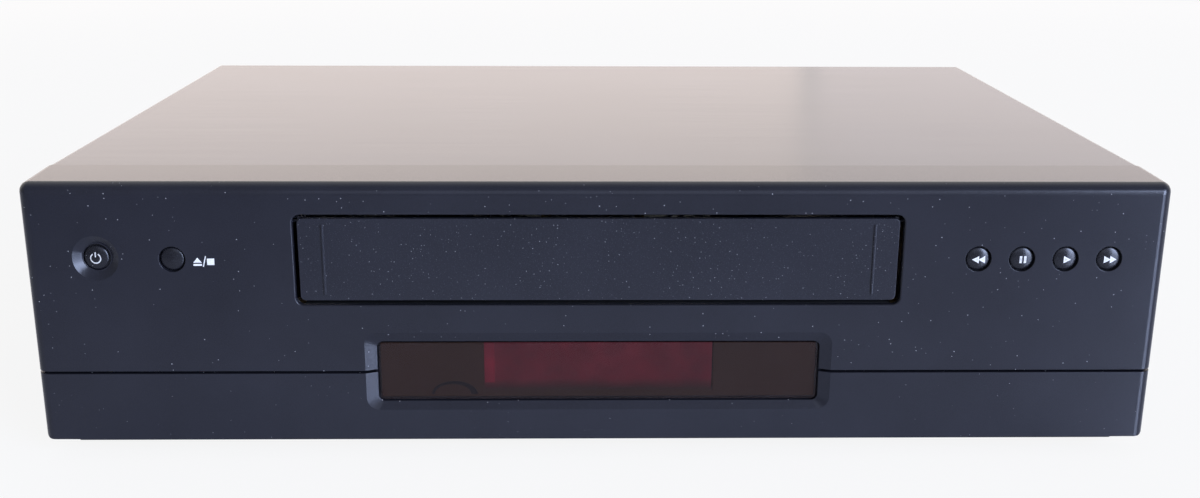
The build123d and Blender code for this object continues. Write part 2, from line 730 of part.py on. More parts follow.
with BuildPart() as board_parts:
    # chips: place from the board's left or right edge and its front, then width, depth and height
    left, right = main_board_left, main_board_right
    for edge, x, y, w, d, h in ((left, 38, 40, 28, 28, 3), (right, -26, 90, 34, 10, 4),
                                (left, 28, 110, 22, 8, 4), (right, -21, 160, 20, 20, 3)):
        x, y = edge + x, main_board_front + y
        block((x - w / 2, y - d / 2, board_top), (x + w / 2, y + d / 2, board_top + h))
    block((-50, strip_front + 3, board_top), (-32, strip_front + 11, board_top + 4))
    # capacitors: place, radius and height
    for edge, x, y, r, h in ((left, 16, 20, 4, 11), (left, 28, 70, 3.2, 8), (right, -34, 130, 5, 12),
                             (right, -10, 200, 5, 12), (left, 16, 160, 4, 10), (right, -14, 20, 3.2, 8)):
        post(edge + x, main_board_front + y, board_top, r, h)
finish(board_parts.part, "board_parts")

with BuildPart() as tuner_can:
    block((aerial_x - 9, rear_inner - 55.3, board_top), (aerial_x + 9, rear_inner, board_top + 54))
    fillet(tuner_can.edges().filter_by(Axis.Z), 0.6)
    for i in range(3):
        rod_x(aerial_x - 9, rear_inner - 45.3 + i * 14, board_top + 12, 2, 18, mode=Mode.SUBTRACT)
finish(tuner_can.part, "tuner_can")

with BuildPart() as aerial_sockets:
    for z in aerial_z:
        rod_y(aerial_x, rear_inner, z, 6.5, socket_end - rear_inner)
        rod_y(aerial_x, rear_inner + 1.5, z, 4.8, socket_end - rear_inner - 1.5, mode=Mode.SUBTRACT)
        rod_y(aerial_x, rear_inner + 1.5, z, 1.2, socket_end - rear_inner - 2.5)
finish(aerial_sockets.part, "aerial_sockets")

with BuildPart() as scart_sockets:
    for x in scart_x:
        block((x - 26, rear_inner - 20, scart_low), (x + 26, rear_inner, scart_low + 16))
        with BuildSketch(front_plane(rear_inner)):
            with BuildLine():
                Polyline((x - 23.5, scart_low + 1.5), (x + 23.5, scart_low + 1.5),
                         (x + 23.5, scart_low + 14.5), (x - 19.5, scart_low + 14.5),
                         (x - 23.5, scart_low + 9), close=True)
            make_face()
        extrude(amount=-(rear_face + 3 - rear_inner))
        with BuildSketch(front_plane(rear_inner - 10)):
            with BuildLine():
                Polyline((x - 22.3, scart_low + 2.7), (x + 22.3, scart_low + 2.7),
                         (x + 22.3, scart_low + 13.3), (x - 19, scart_low + 13.3),
                         (x - 22.3, scart_low + 8.6), close=True)
            make_face()
        extrude(amount=-20, mode=Mode.SUBTRACT)
        block((x - 19, rear_inner - 10, scart_low + 5.5), (x + 19, rear_face, scart_low + 10.5))
        for i in range(10):
            slot_x = x - 16.2 + i * 3.6
            block((slot_x - 0.7, rear_face - 8, scart_low + 6.6),
                  (slot_x + 0.7, rear_face, scart_low + 9.4),
                  mode=Mode.SUBTRACT)
finish(scart_sockets.part, "scart_sockets")

with BuildPart() as line_sockets:
    for x in line_x:
        block((x - 6, rear_inner - 14, board_top), (x + 6, rear_inner, line_z + 7))
        phono_socket(x, line_z, rear_face, socket_end, 1)
        rod_y(x, rear_inner, line_z, 4.15, sheet)
        rod_y(x, socket_end - 8, line_z, 1.65, 8, mode=Mode.SUBTRACT)
finish(line_sockets.part, "line_sockets")

with BuildPart() as power_board:
    block((power_board_left, power_board_front, board_low),
          (power_board_left + power_board_width, board_rear, board_top))
finish(power_board.part, "power_board")

with BuildPart() as mains_inlet:
    block((inlet_x - 12, rear_inner - 22, inlet_low), (inlet_x + 12, rear_inner, inlet_low + 17))
    block((inlet_x - 12, rear_inner, inlet_low + 1), (inlet_x + 12, rear_face + 1.5, inlet_low + 16))
    with BuildSketch(front_plane(rear_face + 1.5)):
        with Locations((inlet_x - 3.3, inlet_low + 8.5), (inlet_x + 3.3, inlet_low + 8.5)):
            Circle(4.6)
    extrude(amount=14, mode=Mode.SUBTRACT)
    for side in (-1, 1):
        rod_y(inlet_x + side * 3.3, rear_face - 12.5, inlet_low + 8.5, 1.2, 11)
finish(mains_inlet.part, "mains_inlet")

with BuildPart() as transformer:
    tx, ty = power_board_left + 30, power_board_front + 64
    block((tx - 22, ty - 16, board_top), (tx + 22, ty + 16, board_top + 36))
    for side in (-1, 1):
        block((tx - 14, ty + side * 21 - 5, board_top + 7),
              (tx + 14, ty + side * 21 + 5, board_top + 29))
    fillet(transformer.edges().filter_by(Axis.X).filter_by(lambda e: abs(e.length - 28) < 0.01), 3)
finish(transformer.part, "transformer")

with BuildPart() as capacitors:
    for x, y, r, h in ((12, 22, 10, 34), (36, 20, 6, 20), (64, 112, 8, 25), (62, 22, 5, 15)):
        post(power_board_left + x, power_board_front + y, board_top, r, h)
    fillet(capacitors.edges().group_by(Axis.Z)[-1], 0.8)
finish(capacitors.part, "capacitors")

with BuildPart() as heat_sink:
    hx, hy = power_board_left + 66, power_board_front + 46
    block((hx - 1.5, hy, board_top), (hx + 1.5, hy + 48, board_top + 34))
    for i in range(6):
        y = hy + i * 9.2
        block((hx - 8, y, board_top), (hx + 8, y + 2, board_top + 34))
finish(heat_sink.part, "heat_sink")


# ---------------------------------------------------------------- the tape deck
def track_line(side):
    """Start, direction, length and angle of one guide block's track."""
    start = Vector(side * track_start[0], deck_front + track_start[1], 0)
    end = Vector(side * track_end[0], deck_front + track_end[1], 0)
    step = end - start
    return start, step, step.length, math.degrees(math.atan2(step.Y, step.X))


with BuildPart() as deck_plate:
    block((-deck_half, deck_front, deck_height), (deck_half, deck_rear, deck_top))
    block((-deck_half, deck_front, deck_height - deck_flange), (deck_half, deck_rear, deck_height))
    block((-deck_half + deck_sheet, deck_front + deck_sheet, deck_height - deck_flange),
          (deck_half - deck_sheet, deck_rear - deck_sheet, deck_height), mode=Mode.SUBTRACT)
    # tracks for the guide blocks
    for side in (-1, 1):
        start, step, length, angle = track_line(side)
        middle = start + step / 2
        with BuildSketch(Plane.XY.offset(deck_height)):
            with Locations((middle.X, middle.Y)):
                SlotCenterToCenter(length + 1, 2 * track_slot, rotation=angle)
        extrude(amount=deck_sheet, mode=Mode.SUBTRACT)
    # shafts that carry reels and levers
    post(-reel_x, reel_y, deck_top, reel_shaft, reel_top)
    post(reel_x, reel_y, deck_top, reel_shaft, reel_top)
    post(pinch_x, pinch_y, deck_top, reel_shaft, 8)
    post(tension_x, tension_y, deck_top, reel_shaft, 6)
    post(loading_x, loading_y, deck_top, reel_shaft, 12.5)
    # holes for the capstan bearing and the reel pulley
    post(capstan_x, capstan_y, deck_height, bearing_radius + 0.1, deck_sheet, mode=Mode.SUBTRACT)
    post(0, pulley_y, deck_height, 2.6, deck_sheet, mode=Mode.SUBTRACT)
    # worm shaft's end plates
    for x in (loading_x - 12.5, loading_x + 11.5):
        block((x - 0.8, worm_y - 4, deck_top), (x + 0.8, worm_y + 4, deck_top + worm_height + 4))
        rod_x(x - 0.8, worm_y, deck_top + worm_height, 1.05, 1.6, mode=Mode.SUBTRACT)
    # lightening holes
    with BuildSketch(Plane.XY.offset(deck_height)):
        with Locations((22 - deck_half, deck_front + 30), (deck_half - 22, deck_front + 30)):
            RectangleRounded(24, 36, 4)
        with Locations((0, deck_front + 88)):
            RectangleRounded(20, 30, 4)
        with Locations((deck_half - 20, deck_front + 154)):
            RectangleRounded(20, 34, 4)
    extrude(amount=deck_sheet, mode=Mode.SUBTRACT)
finish(deck_plate.part, "deck_plate")

drum_plane = Plane(origin=(0, drum_y, drum_low),
                   x_dir=(math.cos(math.radians(drum_tilt)), 0, -math.sin(math.radians(drum_tilt))),
                   z_dir=(math.sin(math.radians(drum_tilt)), 0, math.cos(math.radians(drum_tilt))))


def drum_disc(low, radius, height, mode=Mode.ADD):
    """A disc on the drum's tilted axis."""
    with BuildSketch(drum_plane.offset(low)) as disc:
        Circle(radius)
    extrude(disc.sketch, amount=height, mode=mode)


with BuildPart() as lower_drum:
    drum_disc(0, drum_radius, lower_drum_height)
    post(0, drum_y, deck_top, drum_radius - 6, 10)
    block((-drum_radius - 3, drum_y + 6, deck_top), (drum_radius + 3, drum_y + 16, deck_top + 3))
    drum_disc(lower_drum_height - 11, drum_shaft + running_clearance, 20, mode=Mode.SUBTRACT)
finish(lower_drum.part, "lower_drum")

with BuildPart() as head_drum:
    drum_disc(lower_drum_height + drum_gap, drum_radius, upper_drum_height)
    fillet(head_drum.faces().sort_by(Axis.Z)[-1].edges(), 1.2)
    drum_disc(lower_drum_height + drum_gap + upper_drum_height - 2, 22, 2, mode=Mode.SUBTRACT)
    drum_disc(lower_drum_height + drum_gap + upper_drum_height - 2, 9, 3.5)
    with BuildSketch(drum_plane.offset(lower_drum_height + drum_gap)):
        with PolarLocations(drum_radius, 2):
            Rectangle(4, 6)
    extrude(amount=2.2, mode=Mode.SUBTRACT)
    with BuildSketch(drum_plane.offset(lower_drum_height + drum_gap + upper_drum_height - 3)):
        with PolarLocations(15, 3):
            Circle(1.6)
    extrude(amount=3, mode=Mode.SUBTRACT)
    drum_disc(lower_drum_height - 10.5, drum_shaft, 11.5)
finish(head_drum.part, "head_drum")

with BuildPart() as capstan_bearing:
    post(capstan_x, capstan_y, deck_height - 3, bearing_radius, deck_sheet + 3 + bearing_rise)
    post(capstan_x, capstan_y, deck_top, 8, 1.6)
    post(capstan_x, capstan_y, deck_height - 3, capstan_radius + running_clearance, 14,
         mode=Mode.SUBTRACT)
finish(capstan_bearing.part, "capstan_bearing")

flywheel_low = deck_height - 4 - flywheel_thickness - 1.5
with BuildPart() as capstan:
    post(capstan_x, capstan_y, flywheel_low, capstan_radius, capstan_top - flywheel_low)
    post(capstan_x, capstan_y, flywheel_low, flywheel_radius, flywheel_thickness)
    fillet(capstan.edges().filter_by(GeomType.CIRCLE).filter_by(
        lambda e: abs(e.radius - flywheel_radius) < 0.01), 0.8)
    # belt pulley under the flywheel
    post(capstan_x, capstan_y, flywheel_low - 5, 8, 5)
    with BuildSketch(Plane.XY.offset(flywheel_low - 3.6)):
        with Locations((capstan_x, capstan_y)):
            Circle(8)
            Circle(6.6, mode=Mode.SUBTRACT)
    extrude(amount=2.2, mode=Mode.SUBTRACT)
finish(capstan.part, "capstan")

belt_low = flywheel_low - 3.4
with BuildPart() as reel_pulley:
    post(0, pulley_y, belt_low - 1, 2.5, deck_top + 7 - belt_low + 1)
    post(0, pulley_y, belt_low - 1.2, pulley_radius, 4.2)
    with BuildSketch(Plane.XY.offset(belt_low - 0.2)):
        with Locations((0, pulley_y)):
            Circle(pulley_radius)
            Circle(pulley_radius - 1.4, mode=Mode.SUBTRACT)
    extrude(amount=2.2, mode=Mode.SUBTRACT)
    post(0, pulley_y, deck_top + 0.5, pulley_radius, 4)
finish(reel_pulley.part, "reel_pulley")

with BuildPart() as reel_belt:
    gap = 0.2
    small = 6.6 + gap
    large = pulley_radius - 1.4 + gap
    across = math.hypot(capstan_x, capstan_y - pulley_y)
    heading = math.degrees(math.atan2(capstan_y - pulley_y, capstan_x))
    lean = math.degrees(math.asin((large - small) / across))
    with BuildSketch(Plane.XY.offset(belt_low)):
        for extra, fill in ((1.1, Mode.ADD), (0.0, Mode.SUBTRACT)):
            big, little = large + extra, small + extra
            corners = []
            for turn, radius, x, y in ((90 + lean, big, 0, pulley_y),
                                       (90 + lean, little, capstan_x, capstan_y),
                                       (-90 - lean, little, capstan_x, capstan_y),
                                       (-90 - lean, big, 0, pulley_y)):
                angle = math.radians(heading + turn)
                corners.append((x + radius * math.cos(angle), y + radius * math.sin(angle)))
            far = math.radians(heading)
            with BuildLine(mode=Mode.PRIVATE) as loop:
                Line(corners[0], corners[1])
                ThreePointArc(corners[1],
                              (capstan_x + little * math.cos(far), capstan_y + little * math.sin(far)),
                              corners[2])
                Line(corners[2], corners[3])
                ThreePointArc(corners[3],
                              (-big * math.cos(far), pulley_y - big * math.sin(far)), corners[0])
            make_face(loop.edges(), mode=fill)
    extrude(amount=1.8)
finish(reel_belt.part, "reel_belt")

for side, name in ((-1, "supply_reel"), (1, "take_up_reel")):
    with BuildPart() as reel:
        post(side * reel_x, reel_y, deck_top + 0.4, reel_radius, reel_disc)
        fillet(reel.edges().filter_by(GeomType.CIRCLE), 0.6)
        post(side * reel_x, reel_y, deck_top + 0.4 + reel_disc, reel_hub, 5)
        post(side * reel_x, reel_y, deck_top + 5.4 + reel_disc, 4, 8)
        with BuildSketch(Plane.XY.offset(deck_top + 5.4 + reel_disc)):
            with Locations((side * reel_x, reel_y)):
                with PolarLocations(4, 3):
                    Rectangle(4, 1.6)
        extrude(amount=6.5)
        post(side * reel_x, reel_y, deck_top, reel_shaft + running_clearance, 30, mode=Mode.SUBTRACT)
    finish(reel.part, name)

idler_reach = pulley_radius + idler_radius + 0.3
arm_low = deck_top + 4.8
with BuildPart() as idler_arm:
    with BuildSketch(Plane.XY.offset(arm_low)):
        with Locations((0, pulley_y + idler_reach / 2)):
            SlotCenterToCenter(idler_reach, 8, rotation=90)
    extrude(amount=1.4)
    post(0, pulley_y + idler_reach, deck_top + 0.6, 1.4, arm_low - deck_top - 0.6)
    post(0, pulley_y, arm_low, 2.5 + running_clearance, 1.4, mode=Mode.SUBTRACT)
finish(idler_arm.part, "idler_arm")

with BuildPart() as idler_wheel:
    post(0, pulley_y + idler_reach, deck_top + 0.5, idler_radius, 4)
    post(0, pulley_y + idler_reach, deck_top + 0.5, 1.4 + running_clearance, 4, mode=Mode.SUBTRACT)
finish(idler_wheel.part, "idler_wheel")

pinch_angle = math.radians(pinch_rest)
roller_x = pinch_x + pinch_length * math.cos(pinch_angle)
roller_y = pinch_y + pinch_length * math.sin(pinch_angle)
with BuildPart() as pinch_arm:
    with BuildSketch(Plane.XY.offset(deck_top + 2)):
        with Locations(((pinch_x + roller_x) / 2, (pinch_y + roller_y) / 2)):
            SlotCenterToCenter(pinch_length, 8, rotation=pinch_rest)
    extrude(amount=2)
    post(pinch_x, pinch_y, deck_top + 0.3, 3.4, 6)
    post(pinch_x, pinch_y, deck_top + 0.3, reel_shaft + running_clearance, 6, mode=Mode.SUBTRACT)
    post(roller_x, roller_y, deck_top + 4, 1.5, pinch_roller_height + 2)
finish(pinch_arm.part, "pinch_arm")

with BuildPart() as pinch_roller:
    post(roller_x, roller_y, deck_top + 4.5, pinch_roller_radius, pinch_roller_height)
    fillet(pinch_roller.edges().filter_by(GeomType.CIRCLE), 0.5)
    post(roller_x, roller_y, deck_top + 4.5, 1.5 + running_clearance, pinch_roller_height,
         mode=Mode.SUBTRACT)
finish(pinch_roller.part, "pinch_roller")

for side, name in ((-1, "guide_block_left"), (1, "guide_block_right")):
    start, step, length, angle = track_line(side)
    with BuildPart() as guide_block:
        with BuildSketch(Plane.XY.offset(deck_top + 0.3)):
            with Locations((start.X, start.Y)):
                RectangleRounded(12, 9, 2, rotation=angle)
        extrude(amount=3.4)
        post(start.X, start.Y, deck_height - 3, track_slot - 0.3, deck_sheet + 3.4)
        post(start.X, start.Y, deck_top + 3.6, 2.5, guide_post_height)
        post(start.X, start.Y, deck_top + 3.6 + guide_post_height, 3.4, 1.4)
        post(start.X, start.Y, deck_top + 3.6, 3.4, 1.4)
    finish(guide_block.part, name)

with BuildPart() as loading_wheel:
    with BuildSketch(Plane.XY.offset(deck_top + 7)):
        with Locations((loading_x, loading_y)):
            Circle(loading_radius)
            with PolarLocations(loading_radius, 24):
                Rectangle(1.4, 1.7, mode=Mode.SUBTRACT)
    extrude(amount=5)
    post(loading_x, loading_y, deck_top + 0.4, 4, 6.7)
    post(loading_x, loading_y, deck_top, reel_shaft + running_clearance, 14, mode=Mode.SUBTRACT)
finish(loading_wheel.part, "loading_wheel")

with BuildPart() as loading_motor:
    motor_x = loading_x - 35
    rod_x(motor_x, worm_y, deck_top + worm_height, 9.7, 20)
    fillet(loading_motor.edges().filter_by(GeomType.CIRCLE), 1.2)
    block((motor_x, worm_y - 7, deck_top), (motor_x + 20, worm_y + 7, deck_top + 4))
    rod_x(motor_x + 20, worm_y, deck_top + worm_height, 3, 1.2)
finish(loading_motor.part, "loading_motor")

with BuildPart() as loading_worm:
    rod_x(loading_x - 13.3, worm_y, deck_top + worm_height, 1.0, 26)
    rod_x(loading_x - worm_length / 2, worm_y, deck_top + worm_height, worm_radius, worm_length)
    fillet(loading_worm.edges().filter_by(GeomType.CIRCLE).filter_by(
        lambda e: abs(e.radius - worm_radius) < 0.01), 0.6)
finish(loading_worm.part, "loading_worm")

# the erase head, then the audio and control head
with BuildPart() as tape_heads:
    block((erase_x - 4, erase_y - 4.5, deck_top + 6), (erase_x + 4, erase_y + 2, deck_top + 19))
    fillet(tape_heads.faces().sort_by(Axis.Y)[0].edges().filter_by(Axis.Z), 1.5)
    block((erase_x - 5, erase_y - 4, deck_top), (erase_x + 5, erase_y + 4, deck_top + 6))
    block((audio_x - 5, audio_y - 6, deck_top + 7.5), (audio_x + 5, audio_y + 2, deck_top + 21))
    fillet(tape_heads.edges().filter_by(Axis.Z).filter_by(
        lambda e: abs(e.center().Y - audio_y + 6) < 0.01), 1.5)
    block((audio_x - 7, audio_y - 5, deck_top), (audio_x + 7, audio_y + 6, deck_top + 2))
    post(audio_x, audio_y + 2, deck_top + 2, 3, 4)
    block((audio_x - 6, audio_y - 4, deck_top + 6), (audio_x + 6, audio_y + 5, deck_top + 7.5))
finish(tape_heads.part, "tape_heads")

with BuildPart() as tension_arm:
    tension_angle = math.radians(tension_rest)
    tip_x = tension_x + tension_length * math.cos(tension_angle)
    tip_y = tension_y + tension_length * math.sin(tension_angle)
    with BuildSketch(Plane.XY.offset(deck_top + 2)):
        with Locations(((tip_x + tension_x) / 2, (tip_y + tension_y) / 2)):
            SlotCenterToCenter(tension_length, 6, rotation=tension_rest)
    extrude(amount=1.6)
    post(tension_x, tension_y, deck_top + 0.3, 3, 4.5)
    post(tension_x, tension_y, deck_top + 0.3, reel_shaft + running_clearance, 4.5, mode=Mode.SUBTRACT)
    post(tip_x, tip_y, deck_top + 3.6, 2, 16)
finish(tension_arm.part, "tension_arm")

# ---------------------------------------------------------------- the cassette carriage
front_pin_y = carriage_y + 17
rear_pin_y = carriage_y + 82
holder_pin_z = ledge_top + 14
slot_margin = holder_pin_radius + 1
guide_rear = rear_pin_y + slide_travel + 14
with BuildPart() as carriage_guides:
    for side in (-1, 1):
        x0, x1 = sorted((side * guide_inner, side * (guide_inner + guide_sheet)))
        block((x0, carriage_y, deck_top), (x1, guide_rear, guide_top))
        f0, f1 = sorted((side * guide_inner, side * (deck_half - 0.5)))
        block((f0, deck_front + 4, deck_top), (f1, guide_rear, deck_top + guide_sheet))
        # J-shaped windows that the holder's pins travel along
        for pin_y in (front_pin_y, rear_pin_y):
            block((x0, pin_y - slot_margin, holder_pin_z - slot_margin),
                  (x1, pin_y + slide_travel + slot_margin, holder_pin_z + slot_margin),
                  mode=Mode.SUBTRACT)
            block((x0, pin_y + slide_travel - slot_margin, holder_pin_z - lower_travel - slot_margin),
                  (x1, pin_y + slide_travel + slot_margin, holder_pin_z), mode=Mode.SUBTRACT)
finish(carriage_guides.part, "carriage_guides")

with BuildPart() as carriage_bridge:
    reach = guide_inner + guide_sheet
    bridge_y = carriage_y + 70
    block((-reach, bridge_y - 20, guide_top), (reach, bridge_y + 20, guide_top + guide_sheet))
    with BuildSketch(Plane.XY.offset(guide_top)):
        with Locations((-reach / 2, bridge_y), (reach / 2, bridge_y)):
            RectangleRounded(60, 20, 3)
    extrude(amount=guide_sheet, mode=Mode.SUBTRACT)
finish(carriage_bridge.part, "carriage_bridge")

# plates that push the holder's pins along and let them drop
slider_outer = guide_inner - guide_clearance
slider_inner = slider_outer - runner_rise - slider_sheet
slider_low = holder_pin_z - lower_travel - slot_margin - 4
slider_high = holder_pin_z + slot_margin + 5
with BuildPart() as carriage_sliders:
    for side in (-1, 1):
        x0, x1 = sorted((side * slider_inner, side * (slider_inner + slider_sheet)))
        block((x0, front_pin_y - 8, slider_low), (x1, rear_pin_y + 8, slider_high))
        r0, r1 = sorted((side * (slider_inner + slider_sheet), side * slider_outer))
        for z in (slider_low, slider_high - 1.6):
            block((r0, front_pin_y - 8, z), (r1, rear_pin_y + 8, z + 1.6))
        for pin_y in (front_pin_y, rear_pin_y):
            with BuildSketch(Plane.YZ.offset(x0)):
                with Locations((pin_y, holder_pin_z - lower_travel / 2)):
                    SlotCenterToCenter(lower_travel, 2 * (holder_pin_radius + guide_clearance),
                                       rotation=90)
            extrude(amount=slider_sheet, mode=Mode.SUBTRACT)
finish(carriage_sliders.part, "carriage_sliders")

with BuildPart() as cassette_holder:
    outer = holder_half + holder_sheet
    rear_y = carriage_y + cassette_depth + 1
    block((-outer, carriage_y, ledge_top - holder_sheet), (outer, rear_y, holder_top + holder_sheet))
    block((-holder_half, carriage_y, ledge_top), (holder_half, rear_y, holder_top), mode=Mode.SUBTRACT)
    # floor kept only under the cassette's long edges and front
    block((-holder_half + holder_ledge, carriage_y + 8, ledge_top - holder_sheet),
          (holder_half - holder_ledge, rear_y, ledge_top), mode=Mode.SUBTRACT)
    # windows and rear cut-out in the top plate
    with BuildSketch(Plane.XY.offset(holder_top)):
        with Locations((-holder_half / 2, carriage_y + 46), (holder_half / 2, carriage_y + 46)):
            RectangleRounded(54, 50, 5)
        with Locations((0, rear_y)):
            RectangleRounded(130, 30, 5)
    extrude(amount=holder_sheet, mode=Mode.SUBTRACT)
    pin_length = slider_outer - outer
    for pin_y in (front_pin_y, rear_pin_y):
        rod_x(outer, pin_y, holder_pin_z, holder_pin_radius, pin_length)
        rod_x(-outer - pin_length, pin_y, holder_pin_z, holder_pin_radius, pin_length)
finish(cassette_holder.part, "cassette_holder")
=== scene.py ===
"""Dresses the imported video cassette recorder: finishes, printed marks and the small fittings.

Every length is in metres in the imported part's own frame. +X is the viewer's right,
+Y runs to the rear and +Z is up.
"""
import json
import math

import bmesh
import bpy
from mathutils import Matrix, Vector


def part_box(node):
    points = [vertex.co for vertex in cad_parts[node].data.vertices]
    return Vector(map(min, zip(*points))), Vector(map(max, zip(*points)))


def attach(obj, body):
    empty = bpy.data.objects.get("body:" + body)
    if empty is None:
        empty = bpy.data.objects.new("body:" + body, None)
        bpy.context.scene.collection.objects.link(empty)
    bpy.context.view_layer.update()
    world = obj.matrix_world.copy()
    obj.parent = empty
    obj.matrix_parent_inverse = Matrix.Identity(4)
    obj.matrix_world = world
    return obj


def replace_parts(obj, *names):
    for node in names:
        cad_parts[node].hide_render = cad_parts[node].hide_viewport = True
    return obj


bl_info = {
    "name": "Video cassette recorder dressing",
    "version": (1, 0, 0),
    "blender": (4, 5, 0),
    "location": "3D View > Sidebar > Recorder",
    "description": "Finishes, marks, display and small fittings of a video cassette recorder",
    "category": "Object",
}

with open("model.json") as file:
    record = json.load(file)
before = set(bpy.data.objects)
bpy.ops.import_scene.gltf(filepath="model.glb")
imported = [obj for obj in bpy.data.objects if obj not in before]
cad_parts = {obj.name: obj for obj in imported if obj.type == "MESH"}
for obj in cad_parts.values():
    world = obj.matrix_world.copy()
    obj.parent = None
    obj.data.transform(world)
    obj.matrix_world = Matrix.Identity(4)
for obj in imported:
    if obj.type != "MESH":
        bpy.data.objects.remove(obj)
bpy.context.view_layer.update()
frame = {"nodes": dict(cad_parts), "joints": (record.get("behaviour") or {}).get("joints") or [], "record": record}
MM = 0.001

FACE_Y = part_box("front_fascia")[0].y
BUTTON_WALL = 2.9 * MM  # from the panel's face to the wall that the buttons pass through
DISPLAY_LEFT, DISPLAY_RIGHT = -44.4 * MM, 43.9 * MM
MARK_DROP = 0.3 * MM  # the marks sit this far below the buttons' middles
PHONO_RING = 5.4 * MM, 4.2 * MM, 1.2 * MM  # outer radius, inner radius and depth
WHITE = (1, 1, 1, 1)


# -------- settings
def number(label, about, value, **kind):
    """A number setting, with its unit or subtype where one fits."""
    return bpy.props.FloatProperty(name=label, description=about, default=value, **kind)


def length(label, about, millimetres):
    """A length setting."""
    return number(label, about, millimetres * MM, unit="LENGTH", min=0)


def tint(label, about, value):
    """A colour setting."""
    return bpy.props.FloatVectorProperty(
        name=label, description=about, subtype="COLOR", size=3, min=0, max=1, default=value)


class RecorderColours(bpy.types.PropertyGroup):
    """Colours that set the recorder's look."""

    panel: tint("Front panel", "Moulded plastic of the panel, flap and door",
                (0.0165, 0.0170, 0.0230))
    cover: tint("Steel cover", "Satin paint on the folded steel cover", (0.050, 0.056, 0.068))
    button: tint("Buttons", "Moulded plastic of the button caps", (0.0100, 0.0102, 0.0135))
    printing: tint("Printing", "White ink of the marks", (0.97, 0.95, 0.91))
    display: tint("Display", "Red filter in front of the display", (0.25, 0.020, 0.034))
    dust: tint("Dust", "Fine dust on the front", (0.42, 0.42, 0.43))


class RecorderSizes(bpy.types.PropertyGroup):
    """Sizes of the pieces that the dressing adds."""

    ink: length("Ink thickness", "How far a printed mark stands off its surface", 0.07)
    mark_height: length("Mark height", "Height of the marks on the transport buttons", 2.8)
    ring_radius: length("Power ring", "Middle radius of the ring on the power button", 1.86)
    stroke: length("Stroke", "Line width of the power mark", 0.40)
    grain: length("Plastic grain", "Size of the moulded plastic's fine texture", 0.34)
    dome: length("Button dome", "How far a button's middle stands in front of its rim", 0.85)
    edge: length("Moulded edge", "Rounding along the front's sharp edges", 0.20)
    wire: length("Spring wire", "Wire diameter of the door's torsion spring", 0.5)
    thread: length("Worm pitch", "Distance between the loading worm's threads", 3.6)


class StageSettings(bpy.types.PropertyGroup):
    """Camera, lamps and floor."""

    camera_place: bpy.props.FloatVectorProperty(
        name="Camera", description="Where the camera stands", subtype="TRANSLATION", size=3,
        default=(-0.009300, -0.636631, 0.226504))
    yaw: number("Yaw", "Turn of the camera to the right", math.radians(1.1173), subtype="ANGLE")
    pitch: number("Pitch", "How far the camera looks down", math.radians(16.1950), subtype="ANGLE")
    roll: number("Roll", "Lean of the camera", math.radians(0.2951), subtype="ANGLE")
    lens: number("Lens", "Focal length on a 36 mm sensor", 40.4049, subtype="DISTANCE_CAMERA")
    floor_half: number("Floor", "Half of the floor's side", 6.0, unit="LENGTH")
    ambient: number("Ambient", "Strength of the light from all round", 0.38)
    room: number("Room", "Brightness of the room that the front reflects", 0.16)
    window: number("Window lamp", "Power of the lamp far off on the front right", 470.0,
                   subtype="POWER")
    haze: number("Haze light", "Power of the dimmer, wider lamp far off in front", 30.0,
                 subtype="POWER")
    backdrop: number("Backdrop lamp", "Power of the wide lamp behind, which the cover reflects",
                     6.4, subtype="POWER")


# -------- modelling helpers
def clear_selection():
    """Back to object mode with nothing selected."""
    if bpy.context.object is not None and bpy.context.object.mode != "OBJECT":
        bpy.ops.object.mode_set(mode="OBJECT")
    bpy.ops.object.select_all(action="DESELECT")


def take(obj):
    """Select one object alone and make it active."""
    clear_selection()
    obj.select_set(True)
    bpy.context.view_layer.objects.active = obj


def edit(obj):
    """Open one object in edit mode."""
    take(obj)
    bpy.ops.object.mode_set(mode="EDIT")


def middle(node):
    """Middle of a node's box along X, Y and Z."""
    return [(low + high) / 2 for low, high in zip(*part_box(node))]


def leave():
    """Back from edit mode to object mode."""
    bpy.ops.object.mode_set(mode="OBJECT")


def face_outwards():
    """In edit mode, select everything and turn every face outwards."""
    bpy.ops.mesh.select_all(action="SELECT")
    bpy.ops.mesh.normals_make_consistent(inside=False)


def pick(obj, kind, test):
    """In edit mode, select the faces or edges that pass a test."""
    bpy.ops.mesh.select_mode(type=kind)
    bpy.ops.mesh.select_all(action="DESELECT")
    mesh = bmesh.from_edit_mesh(obj.data)
    for item in mesh.faces if kind == "FACE" else mesh.edges:
        if test(item):
            item.select_set(True)
    bmesh.update_edit_mesh(obj.data)


def pull(offset):
    """Extrude the selected faces by an offset."""
    bpy.ops.mesh.extrude_region_move(TRANSFORM_OT_translate={"value": tuple(offset)})


def merged(pieces):
    """Join several objects into the first."""
    clear_selection()
    for piece in pieces:
        piece.select_set(True)
    bpy.context.view_layer.objects.active = pieces[0]
    if len(pieces) > 1:
        bpy.ops.object.join()
    return bpy.context.object


def use(obj, kind, **values):
    """Add a modifier, set its values and apply it."""
    take(obj)
    modifier = obj.modifiers.new(kind.title(), kind)
    for key, value in values.items():
        setattr(modifier, key, value)
    bpy.ops.object.modifier_apply(modifier=modifier.name)


def done(obj, name, finish, body, angle=30.0):
    """Name a finished piece, settle its place into its mesh and give it finish and body."""
    take(obj)
    bpy.ops.object.transform_apply()
    bpy.ops.object.shade_smooth_by_angle(angle=math.radians(angle))
    obj.name = obj.data.name = name
    obj.data.materials.clear()
    obj.data.materials.append(bpy.data.materials[finish])
    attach(obj, body)
    clear_selection()
    return obj


